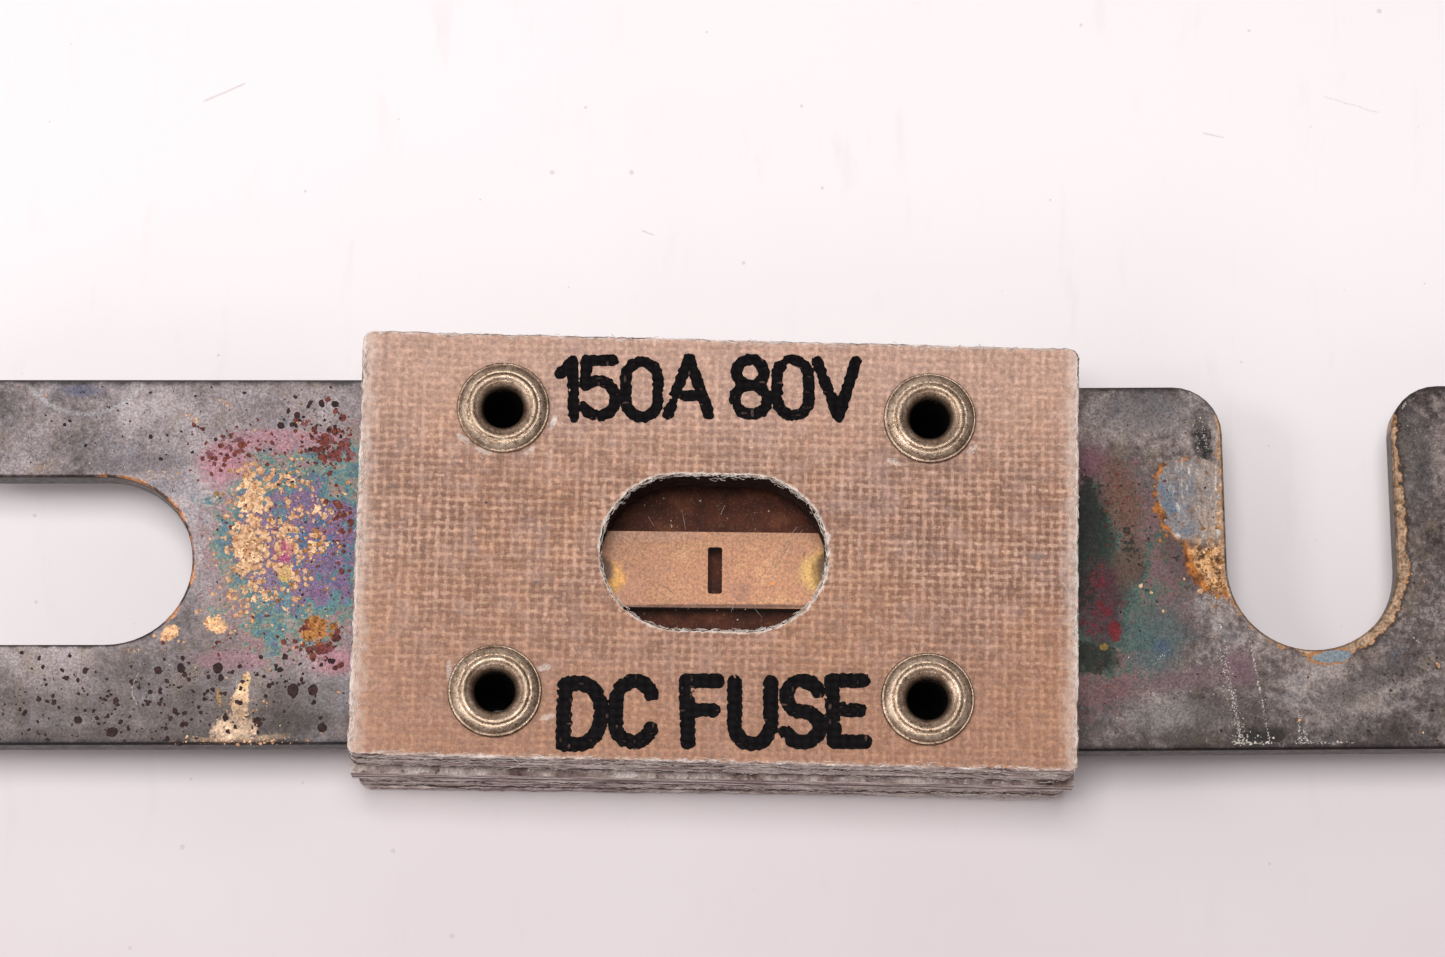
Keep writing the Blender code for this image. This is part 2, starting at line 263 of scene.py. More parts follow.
def makeRaggedPatch():  # an ellipse with a torn edge
    tree, given, result = startGroup("raggedPatch", {
        "Vector": (0.0, 0.0, 0.0), "Centre": (0.0, 0.0, 0.0), "Size": (1.0, 1.0, 1000.0),
        "Turn": (0.0, 0.0, 0.0), "Ragged": 0.3, "Grain": 2.0, "Soft": 0.1, "Seed": 0.0,
    }, ("Mask", "Distance"))
    local = fromFrame(tree, given["Vector"], given["Centre"], given["Turn"], given["Size"])
    wander = less(tree, grain(tree, given["Vector"], given["Grain"], given["Seed"], 5.0, 0.72), 0.5)
    distance = timesPlus(tree, wander, times(tree, given["Ragged"], 2.0), vectors(tree, "LENGTH", local))
    inner = less(tree, 1.0, given["Soft"])
    outer = plus(tree, 1.0, given["Soft"])
    feed(tree, result["Mask"], step(tree, distance, inner, outer, 1.0, 0.0))
    feed(tree, result["Distance"], distance)
    return tree


def makePlateEdge():  # how far inside a rectangle's outline a point lies
    tree, given, result = startGroup("plateEdge", {
        "Vector": (0.0, 0.0, 0.0), "Centre": (0.0, 0.0, 0.0), "Turn": (0.0, 0.0, 0.0),
        "Half X": 1.0, "Half Y": 1.0,
    }, ("Ends", "Sides"))
    local = fromFrame(tree, given["Vector"], given["Centre"], given["Turn"])
    feed(tree, result["Ends"], less(tree, given["Half X"], absolute(tree, coordinate(tree, local, 0))))
    feed(tree, result["Sides"], less(tree, given["Half Y"], absolute(tree, coordinate(tree, local, 1))))
    return tree


def makeSlotRim():  # how far outside a slot with a round end a point lies
    tree, given, result = startGroup("slotRim", {
        "Vector": (0.0, 0.0, 0.0), "Centre": (0.0, 0.0, 0.0), "Turn": (0.0, 0.0, 0.0),
        "Radius": 1.0, "Reach": 1000.0,
    }, ("Distance",))
    local = fromFrame(tree, given["Vector"], given["Centre"], given["Turn"])
    below = smaller(tree, coordinate(tree, local, 1), 0.0)
    above = larger(tree, less(tree, coordinate(tree, local, 1), given["Reach"]), 0.0)
    nearest = joined(tree, coordinate(tree, local, 0), plus(tree, below, above), 0.0)
    feed(tree, result["Distance"], less(tree, vectors(tree, "LENGTH", nearest), given["Radius"]))
    return tree


def makeScratchMark():  # a straight mark, broken where the given noise is low
    tree, given, result = startGroup("scratchMark", {
        "Vector": (0.0, 0.0, 0.0), "Centre": (0.0, 0.0, 0.0), "Turn": (0.0, 0.0, 0.0),
        "Size": (1.0, 1.0, 1000.0), "Breaks": 0.5, "Broken": 0.5,
    }, ("Mask",))
    local = fromFrame(tree, given["Vector"], given["Centre"], given["Turn"], given["Size"])
    along = step(tree, absolute(tree, coordinate(tree, local, 0)), 0.8, 1.0, 1.0, 0.0)
    across = step(tree, absolute(tree, coordinate(tree, local, 1)), 0.3, 1.0, 1.0, 0.0)
    gaps = step(tree, less(tree, given["Breaks"], given["Broken"]), -0.05, 0.10)
    feed(tree, result["Mask"], times(tree, times(tree, along, across), gaps))
    return tree


def makeSpeckField():  # round specks of mixed sizes, one in some of the cells
    tree, given, result = startGroup("speckField", {
        "Vector": (0.0, 0.0, 0.0), "Per mm": 2.0, "Size": 0.3, "Share": 0.4, "Seed": 0.0,
    }, ("Mask",))
    cells = addNode(tree, "ShaderNodeTexVoronoi", voronoi_dimensions="2D")
    flat = stretched(tree, given["Vector"], (1.0, 1.0, 0.0))
    shifted = vectors(tree, "ADD", flat, joined(tree, given["Seed"], given["Seed"], 0.0))
    warp = scaled(tree, (1.0, 1.0, 0.0), less(tree, grain(tree, flat, 5.0), 0.5))
    feed(tree, cells.inputs["Vector"], vectors(tree, "ADD", shifted, scaled(tree, warp, 0.12)))
    feed(tree, cells.inputs["Scale"], given["Per mm"])
    shade = split(tree, cells.outputs["Color"])
    radius = times(tree, given["Size"], maths(tree, "POWER", shade[1], 2.0))
    chosen = maths(tree, "LESS_THAN", shade[0], given["Share"])
    inside = step(tree, cells.outputs["Distance"], times(tree, radius, 0.7), radius, 1.0, 0.0)
    feed(tree, result["Mask"], times(tree, inside, chosen))
    return tree


def makeWeaveCloth():  # plain weave under resin, in which each thread differs a little
    tree, given, result = startGroup("weaveCloth", {
        "Vector": (0.0, 0.0, 0.0), "Pitch X": 0.46, "Pitch Y": 0.4, "Wobble": 0.1,
    }, ("Thread", "Lift", "Fibre"))
    drift = addNode(tree, "ShaderNodeTexNoise")
    feed(tree, drift.inputs["Vector"], given["Vector"])
    drift.inputs["Scale"].default_value = 0.9
    drift.inputs["Detail"].default_value = 3.0
    away = vectors(tree, "SUBTRACT", drift.outputs["Color"], (0.5, 0.5, 0.5))
    flat = vectors(tree, "ADD", given["Vector"], scaled(tree, away, given["Wobble"]))
    across = maths(tree, "DIVIDE", coordinate(tree, flat, 0), given["Pitch X"])
    along = maths(tree, "DIVIDE", coordinate(tree, flat, 1), given["Pitch Y"])
    lines = []
    overs = []
    for first, second, seed in ((across, along, 3.0), (along, across, 57.0)):
        index = maths(tree, "FLOOR", first)
        other = maths(tree, "FLOOR", second)
        character = addNode(tree, "ShaderNodeTexWhiteNoise", noise_dimensions="1D")
        feed(tree, character.inputs["W"], plus(tree, index, seed))
        offset = absolute(tree, less(tree, maths(tree, "FRACT", first), 0.5))
        line = step(tree, offset, 0.05, 0.40, 1.0, 0.0)
        strength = timesPlus(tree, character.outputs["Value"], 0.26, 0.70)
        lines.append(times(tree, line, strength))
        phase = plus(tree, less(tree, second, 0.5), index)
        wave = maths(tree, "COSINE", times(tree, phase, math.pi))
        sign = 0.5 if seed < 50.0 else -0.5
        overs.append(timesPlus(tree, wave, sign, 0.5))
        patchy = addNode(tree, "ShaderNodeTexWhiteNoise", noise_dimensions="2D")
        feed(tree, patchy.inputs["Vector"], joined(tree, index, other, 0.0))
        lines[-1] = times(tree, lines[-1], timesPlus(tree, patchy.outputs["Value"], 0.70, 0.45))
    warp = times(tree, lines[0], timesPlus(tree, overs[0], 0.5, 0.5))
    weft = times(tree, lines[1], timesPlus(tree, overs[1], 0.5, 0.5))
    thread = less(tree, plus(tree, warp, weft), times(tree, warp, weft))
    fineX = grain(tree, stretched(tree, given["Vector"], (15.0, 2.6, 1.0)), 1.0, 1.0, 4.0, 0.7)
    fineY = grain(tree, stretched(tree, given["Vector"], (2.6, 15.0, 1.0)), 1.0, 2.0, 4.0, 0.7)
    feed(tree, result["Thread"], thread)
    feed(tree, result["Lift"], larger(tree, warp, weft))
    feed(tree, result["Fibre"], times(tree, plus(tree, fineX, fineY), 0.5))
    return tree


raggedPatch = makeRaggedPatch()
plateEdge = makePlateEdge()
slotRim = makeSlotRim()
scratchMark = makeScratchMark()
speckField = makeSpeckField()
weaveCloth = makeWeaveCloth()


def flatTurn(degrees):
    return (0.0, 0.0, math.radians(degrees))


def patchMask(tree, place, patch):  # one torn patch, from a tuple of its values
    x, y, halfX, halfY, turn, ragged, fineness, soft = patch
    return useGroup(tree, raggedPatch, {
        "Vector": place, "Centre": (x, y, 0.0), "Size": (halfX, halfY, 1000.0),
        "Turn": flatTurn(turn), "Ragged": ragged, "Grain": fineness, "Soft": soft,
        "Seed": round(x * 1.7 + y * 0.9, 2),
    })["Mask"]


def paintPatches(tree, place, colour, patches, top):
    for values, shade, opacity in patches:
        mask = times(tree, patchMask(tree, place, values), opacity)
        colour = mixed(tree, times(tree, mask, top), colour, tint(*shade))
    return colour


def clusterMask(tree, place, clusters, fineness, seed, level):  # flakes that crowd in places
    crowd = None
    for x, y, halfX, halfY, turn, strength in clusters:
        values = (x, y, halfX, halfY, turn, 0.35, 1.4, 0.75)
        blob = times(tree, patchMask(tree, place, values), strength)
        crowd = blob if crowd is None else larger(tree, crowd, blob)
    flakes = grain(tree, place, fineness, seed, 4.0, 0.62)
    total = timesPlus(tree, crowd, 0.45, flakes)
    return step(tree, total, level, level + 0.05)


def paintScratches(tree, place, colour, scratches, top):  # x, y to x, y; width; how broken; colour
    shake = scaled(tree, (1.0, 1.0, 0.0), less(tree, grain(tree, place, 1.1), 0.5))
    shaken = vectors(tree, "ADD", place, scaled(tree, shake, 0.22))
    breaks = grain(tree, place, 6.0, 4.0, 4.0, 0.75)
    for x0, y0, x1, y1, width, broken, shade in scratches:
        mask = useGroup(tree, scratchMark, {
            "Vector": shaken, "Centre": ((x0 + x1) / 2, (y0 + y1) / 2, 0.0),
            "Turn": (0.0, 0.0, math.atan2(y1 - y0, x1 - x0)),
            "Size": (math.hypot(x1 - x0, y1 - y0) / 2, width, 1000.0), "Breaks": breaks, "Broken": broken,
        })["Mask"]
        colour = mixed(tree, times(tree, mask, top), colour, tint(*shade))
    return colour


# Terminal blades: silvered copper, tarnished, with heat colours beside the body

endless = 100.0  # half a length that never comes into view

leftBlade = {
    "centre": (-30.8, 0.21, 0.0), "turn": 0.0, "halfWidth": 9.525, "slotTurn": 90.0, "slotRadius": 4.37,
    "grey": ((54, 47, 47), (124, 113, 114), (166, 155, 156)),
    "halo": {"centre": (-20.9, 0.95, 0.0), "size": (5.1, 6.5, 1000.0), "ragged": 0.34, "grain": 0.8},
    "haloColours": (
        (0.00, (48, 84, 114)), (0.11, (52, 82, 112)), (0.15, (132, 72, 96)), (0.22, (126, 68, 94)),
        (0.26, (48, 66, 108)), (0.34, (52, 74, 108)), (0.38, (128, 80, 98)), (0.44, (118, 78, 98)),
        (0.49, (48, 82, 106)), (0.62, (60, 98, 106)), (0.74, (82, 110, 98)), (0.84, (112, 106, 94)),
        (0.93, (138, 90, 100)), (1.00, (112, 100, 102)),
    ),
    "heatPatches": (
        # x, y, half length, half width, turn, ragged, grain, soft; colour; opacity
        ((-24.9, 5.3, 1.3, 1.1, 0, 0.7, 2.2, 0.4), (152, 100, 112), 0.7),
        ((-21.9, 6.5, 2.6, 0.6, 0, 0.7, 2.2, 0.4), (150, 104, 114), 0.65),
        ((-24.3, -5.0, 2.0, 0.5, 0, 0.7, 2.2, 0.4), (136, 98, 108), 0.55),
        ((-19.0, -5.1, 1.3, 0.6, 0, 0.7, 2.2, 0.4), (146, 96, 106), 0.7),
    ),
    "patches": (
        ((-21.8, 0.6, 0.5, 0.6, 10, 1.0, 3.0, 0.3), (152, 56, 90), 0.75),
        ((-21.75, -0.45, 0.36, 0.44, 20, 0.9, 3.6, 0.15), (176, 142, 74), 0.8),
        ((-21.3, -7.3, 1.9, 1.5, 0, 0.8, 1.6, 0.5), (42, 38, 42), 0.6),
        ((-20.14, -3.4, 0.7, 0.6, 20, 1.1, 3.4, 0.12), (156, 96, 44), 0.9),
        ((-19.7, -4.4, 0.55, 0.3, 0, 0.9, 3.4, 0.15), (92, 20, 30), 0.9),
        ((-25.2, -3.1, 0.6, 0.34, -25, 1.3, 3.6, 0.1), (214, 164, 116), 0.9),
        ((-27.5, -3.6, 0.5, 0.3, 35, 1.3, 3.6, 0.1), (214, 166, 124), 0.9),
        ((-21.6, -8.5, 1.5, 0.8, 0, 0.9, 2.6, 0.3), (34, 29, 32), 0.75),
        ((-24.1, -8.6, 1.15, 0.8, 8, 0.8, 4.0, 0.06), (230, 194, 162), 0.95),
        ((-23.85, -7.1, 0.42, 1.0, -8, 0.8, 4.0, 0.06), (222, 184, 146), 0.95),
        ((-23.6, -6.1, 0.2, 0.5, -15, 0.9, 4.5, 0.1), (206, 170, 120), 0.85),
        ((-24.95, -6.9, 0.1, 0.5, 5, 0.9, 4.5, 0.2), (178, 132, 70), 0.8),
        ((-22.7, -9.1, 1.3, 0.24, 10, 0.9, 4.5, 0.08), (224, 188, 156), 0.95),
        ((-25.1, -9.17, 1.3, 0.16, -5, 0.9, 4.5, 0.1), (214, 176, 144), 0.9),
        ((-32.3, 9.15, 0.95, 0.3, 0, 0.6, 2.2, 0.5), (74, 76, 96), 0.7),
        ((-30.6, -8.9, 5.0, 0.5, 0, 0.8, 1.6, 0.5), (64, 54, 54), 0.6),
        ((-21.2, -8.2, 2.0, 0.9, 0, 0.8, 1.8, 0.5), (62, 54, 56), 0.6),
        ((-29.4, 5.3, 2.4, 0.5, 0, 0.8, 1.8, 0.5), (88, 80, 84), 0.6),
    ),
    "flakes": (
        # x, y, half length, half width, turn, strength
        (-23.5, 3.4, 0.9, 1.7, 10, 0.95), (-23.5, 0.8, 1.1, 1.7, -15, 1.0),
        (-24.2, 2.0, 0.6, 0.8, 0, 0.75), (-21.6, 4.3, 0.9, 0.45, -20, 0.85),
        (-19.9, 2.9, 0.8, 0.7, 0, 0.75), (-21.7, 1.6, 0.5, 1.2, 20, 0.95),
        (-20.2, 0.9, 0.9, 0.5, 0, 0.85), (-23.0, -1.6, 1.0, 0.9, 30, 0.8),
        (-21.5, -0.4, 0.9, 0.6, -30, 0.85), (-21.2, -2.3, 1.3, 0.7, 15, 0.6),
    ),
    "redSpots": (
        (-24.5, 6.3, 0.9, 0.5, -20, 0.85), (-19.2, 6.2, 1.2, 0.8, -25, 0.95),
        (-20.7, 7.4, 0.6, 0.4, 0, 0.7), (-18.7, 2.3, 0.7, 1.6, 0, 0.6),
        (-18.6, -1.7, 0.7, 1.2, 0, 0.6), (-25.6, 5.9, 0.5, 0.5, 0, 0.6),
    ),
}

rightBlade = {
    "centre": (30.8, -0.13, 0.0), "turn": 0.315, "halfWidth": 9.525, "slotTurn": 0.315, "slotRadius": 4.37,
    "grey": ((26, 20, 19), (92, 81, 78), (154, 142, 137)),
    "halo": {"centre": (19.3, -1.0, 0.0), "size": (5.0, 6.9, 1000.0), "ragged": 0.40, "grain": 0.9},
    "haloColours": (
        (0.00, (34, 46, 44)), (0.20, (30, 52, 40)), (0.36, (52, 44, 50)), (0.46, (38, 64, 54)),
        (0.60, (58, 82, 76)), (0.72, (84, 78, 68)), (0.84, (104, 70, 74)),
        (0.95, (98, 76, 80)), (1.00, (86, 78, 78)),
    ),
    "heatPatches": (
        ((19.5, 5.3, 0.9, 1.0, 0, 0.7, 2.2, 0.4), (91, 57, 66), 0.8),
        ((21.1, 3.4, 0.95, 2.0, 12, 0.7, 2.2, 0.4), (91, 64, 52), 0.8),
        ((19.5, 1.8, 1.0, 2.4, 0, 0.7, 2.2, 0.35), (25, 35, 29), 0.9),
        ((21.4, 0.0, 0.8, 1.3, -20, 0.7, 2.2, 0.4), (81, 60, 50), 0.8),
        ((19.9, -1.9, 1.1, 2.1, 0, 0.7, 2.2, 0.3), (62, 32, 39), 0.85),
        ((19.4, -4.9, 1.4, 0.8, 0, 0.7, 2.2, 0.35), (34, 40, 27), 0.85),
        ((22.6, -3.9, 1.5, 1.9, -15, 0.7, 2.2, 0.45), (60, 77, 76), 0.75),
        ((23.0, -4.4, 0.5, 0.5, 0, 0.7, 2.2, 0.45), (55, 71, 89), 0.6),
        ((24.2, 1.0, 1.2, 1.7, 0, 0.7, 2.2, 0.5), (67, 52, 49), 0.6),
        ((20.1, -6.6, 1.5, 0.65, 0, 0.7, 2.2, 0.4), (96, 69, 69), 0.8),
        ((24.2, -6.0, 1.9, 0.55, 6, 0.7, 2.2, 0.45), (92, 72, 77), 0.7),
        ((26.9, -5.5, 0.9, 0.9, 0, 0.7, 2.2, 0.45), (104, 77, 86), 0.6),
        ((23.4, -8.0, 2.6, 0.8, 0, 0.7, 2.2, 0.5), (116, 110, 108), 0.65),
        ((22.5, 8.0, 2.6, 1.1, 0, 0.7, 2.2, 0.5), (104, 99, 101), 0.5),
        ((25.35, 6.2, 0.5, 1.9, 4, 0.7, 2.2, 0.4), (44, 39, 40), 0.75),
        ((28.0, -8.9, 1.2, 0.45, 0, 0.7, 2.2, 0.4), (34, 29, 29), 0.75),
        ((33.4, -6.2, 2.6, 0.7, 25, 0.7, 2.2, 0.5), (55, 50, 50), 0.6),
        ((36.4, 5.5, 0.9, 2.6, 4, 0.7, 2.2, 0.5), (60, 59, 59), 0.6),
        ((38.6, -6.3, 1.6, 1.0, 20, 0.7, 2.2, 0.5), (109, 104, 102), 0.55),
    ),
    "patches": (
        ((20.6, -3.55, 0.3, 0.5, 0, 1.0, 3.4, 0.2), (97, 13, 22), 0.85),
        ((20.0, -4.35, 0.22, 0.17, 0, 1.0, 4.0, 0.2), (118, 94, 42), 0.85),
        ((38.7, -9.2, 0.8, 0.14, 0, 0.5, 3.0, 0.2), (180, 143, 92), 0.85),
    ),
    "redSpots": (
        (19.6, -0.9, 0.9, 0.8, 0, 0.8), (20.0, -2.4, 0.7, 0.6, 0, 0.85),
        (19.3, -3.4, 0.7, 0.8, 0, 0.7), (21.3, 2.9, 0.7, 1.2, 0, 0.5),
    ),
    "sootAndShade": (
        (19.2, 2.6, 1.2, 2.4, 0, 0.95), (19.0, -1.0, 1.0, 1.8, 0, 0.85), (19.4, -4.9, 1.6, 1.0, 0, 0.9),
        (21.6, 1.2, 1.0, 2.0, 20, 0.6), (20.8, 4.6, 1.0, 0.8, 0, 0.5), (25.4, 6.4, 0.6, 1.6, 0, 0.7),
        (28.0, -9.0, 1.6, 0.5, 0, 0.9), (23.8, 0.4, 0.9, 1.4, 0, 0.45), (35.2, -6.0, 2.4, 0.9, 25, 0.5),
    ),
    "wornEdge": ((24.85, 3.2, 2.02, 2.5, 28, 0.4, 1.6, 0.04), (25.6, 0.2, 1.35, 1.95, 22, 0.3, 1.5, 0.05)),
    "wornFace": ((25.02, 3.28, 1.94, 2.42, 28, 0.4, 1.6, 0.06), (26.0, 0.45, 1.35, 2.1, 20, 0.35, 1.5, 0.12)),
}


def topOnly(tree, place):  # marks on the face do not come through to the back
    return step(tree, coordinate(tree, place, 2), bladeBottom + 0.5, bladeBottom + 0.8)


def tarnishedBase(tree, place, greys, seed):  # clouds and blotches, here warm and there cool
    broad = grain(tree, place, 0.22, seed, 4.0, 0.6)
    fine = grain(tree, place, 2.2, seed + 5.0, 7.0, 0.8)
    total = timesPlus(tree, fine, 0.65, times(tree, broad, 0.55))
    base = ramp(tree, step(tree, total, 0.42, 0.78), ((0.0, greys[0]), (0.5, greys[1]), (1.0, greys[2])))
    hue = grain(tree, place, 0.45, seed + 9.0, 5.0, 0.7)
    base = mixed(tree, step(tree, hue, 0.50, 0.68, 0.0, 0.55), base, tint(116, 100, 84))
    base = mixed(tree, step(tree, hue, 0.30, 0.46, 0.45, 0.0), base, tint(98, 104, 114))
    return base, fine


def gritty(tree, place, colour, seed):  # pinpoint grain over everything painted so far
    points = grain(tree, place, 7.0, seed, 4.0, 0.85)
    shade = step(tree, points, 0.36, 0.64, 0.62, 1.38)
    return shaded(tree, colour, shade)


def paintHalo(tree, place, colour, halo, colours, top):
    found = useGroup(tree, raggedPatch, {
        "Vector": place, "Centre": halo["centre"], "Size": halo["size"], "Ragged": halo["ragged"],
        "Grain": halo["grain"], "Soft": 0.08, "Seed": 7.3,
    })
    speckle = less(tree, grain(tree, place, 2.6, 2.0, 7.0, 0.85), 0.5)
    mottled = timesPlus(tree, speckle, 1.9, found["Distance"])
    drift = less(tree, grain(tree, place, 1.05, 5.0, 4.0, 0.6), 0.5)
    bands = ramp(tree, timesPlus(tree, drift, 1.5, mottled), colours)
    strength = times(tree, step(tree, mottled, 0.84, 1.16, 0.90, 0.0), top)
    return mixed(tree, strength, colour, bands)


def edgeMasks(tree, place, centre, turn, halfX, halfY):
    return useGroup(tree, plateEdge, {
        "Vector": place, "Centre": centre, "Turn": flatTurn(turn), "Half X": halfX, "Half Y": halfY,
    })


def slotDistance(tree, place, values):  # how far outside a blade's slot
    return useGroup(tree, slotRim, {
        "Vector": place, "Centre": values["centre"], "Turn": flatTurn(values["slotTurn"]),
        "Radius": values["slotRadius"],
    })["Distance"]


def wallMask(tree, side, rim):  # one on the upright walls of a blade and its slot
    return step(tree, smaller(tree, side, rim), 0.005, 0.03, 1.0, 0.0)


def makeLeftBladeFinish(values):
    made, tree, shader, place = startMaterial("tarnishedSilverLeft", 0.45, 0.45, 0.32)
    top = topOnly(tree, place)
    colour, fine = tarnishedBase(tree, place, values["grey"], 1.0)
    colour = paintHalo(tree, place, colour, values["halo"], values["haloColours"], top)
    colour = paintPatches(tree, place, colour, values["heatPatches"], top)
    reds = clusterMask(tree, place, values["redSpots"], 2.6, 9.0, 0.82)
    colour = mixed(tree, times(tree, reds, top), colour, tint(98, 56, 60))
    flakes = clusterMask(tree, place, values["flakes"], 2.4, 3.0, 0.83)
    gold = mixed(tree, grain(tree, place, 2.0, 6.0), tint(242, 206, 168), tint(206, 158, 108))
    colour = mixed(tree, times(tree, flakes, top), colour, gold)
    colour = paintPatches(tree, place, colour, values["patches"], top)
    stain = useGroup(tree, slotRim, {
        "Vector": place, "Centre": (-32.1, 11.44, 0.0), "Turn": (0.0, 0.0, 0.0), "Radius": 3.54,
        "Reach": 0.001,
    })["Distance"]
    trace = step(tree, absolute(tree, stain), 0.02, 0.18, 0.20, 0.0)
    colour = mixed(tree, times(tree, trace, top), colour, tint(178, 182, 184))
    # Dark long edges, and a slot rim worn to copper in places
    edges = edgeMasks(tree, place, values["centre"], values["turn"], endless, values["halfWidth"])
    wander = times(tree, less(tree, grain(tree, place, 1.6, 8.0), 0.5), 0.7)
    lower = step(tree, coordinate(tree, place, 1), -3.6, -8.0, 0.0, 0.72)
    clouds = step(tree, grain(tree, place, 0.8, 14.0, 5.0, 0.7), 0.34, 0.62, 0.35, 1.0)
    colour = mixed(tree, times(tree, times(tree, lower, clouds), top), colour, tint(62, 54, 48))
    dark = step(tree, plus(tree, edges["Sides"], wander), 0.05, 0.42, 1.0, 0.0)
    colour = mixed(tree, times(tree, dark, 0.9), colour, tint(36, 31, 34))
    rim = slotDistance(tree, place, values)
    nearRim = step(tree, plus(tree, rim, wander), 0.02, 0.22, 1.0, 0.0)
    x = coordinate(tree, place, 0)
    lip = times(tree, step(tree, x, -31.6, -30.9), step(tree, coordinate(tree, place, 1), 3.6, 4.1))
    broken = step(tree, grain(tree, place, 1.1, 12.0, 5.0, 0.7), 0.40, 0.50)
    worn = times(tree, broken, larger(tree, lip, step(tree, x, -28.2, -27.4)))
    rimColour = mixed(tree, times(tree, worn, top), tint(56, 46, 44), tint(206, 138, 84))
    colour = mixed(tree, times(tree, nearRim, 0.9), colour, rimColour)
    wall = wallMask(tree, edges["Sides"], rim)
    colour = mixed(tree, times(tree, wall, 0.9), gritty(tree, place, colour, 4.0), tint(42, 31, 26))
    feed(tree, shader["Base Color"], colour)
    feed(tree, shader["Roughness"], step(tree, fine, 0.3, 0.7, 0.34, 0.56))
    bare = timesPlus(tree, flakes, -0.3, 0.45)
    feed(tree, shader["Metallic"], timesPlus(tree, wall, -0.4, bare, clamp=True))
    relief = timesPlus(tree, flakes, 0.8, fine)
    feed(tree, shader["Normal"], bumped(tree, relief, 0.5, 0.03))
    return made


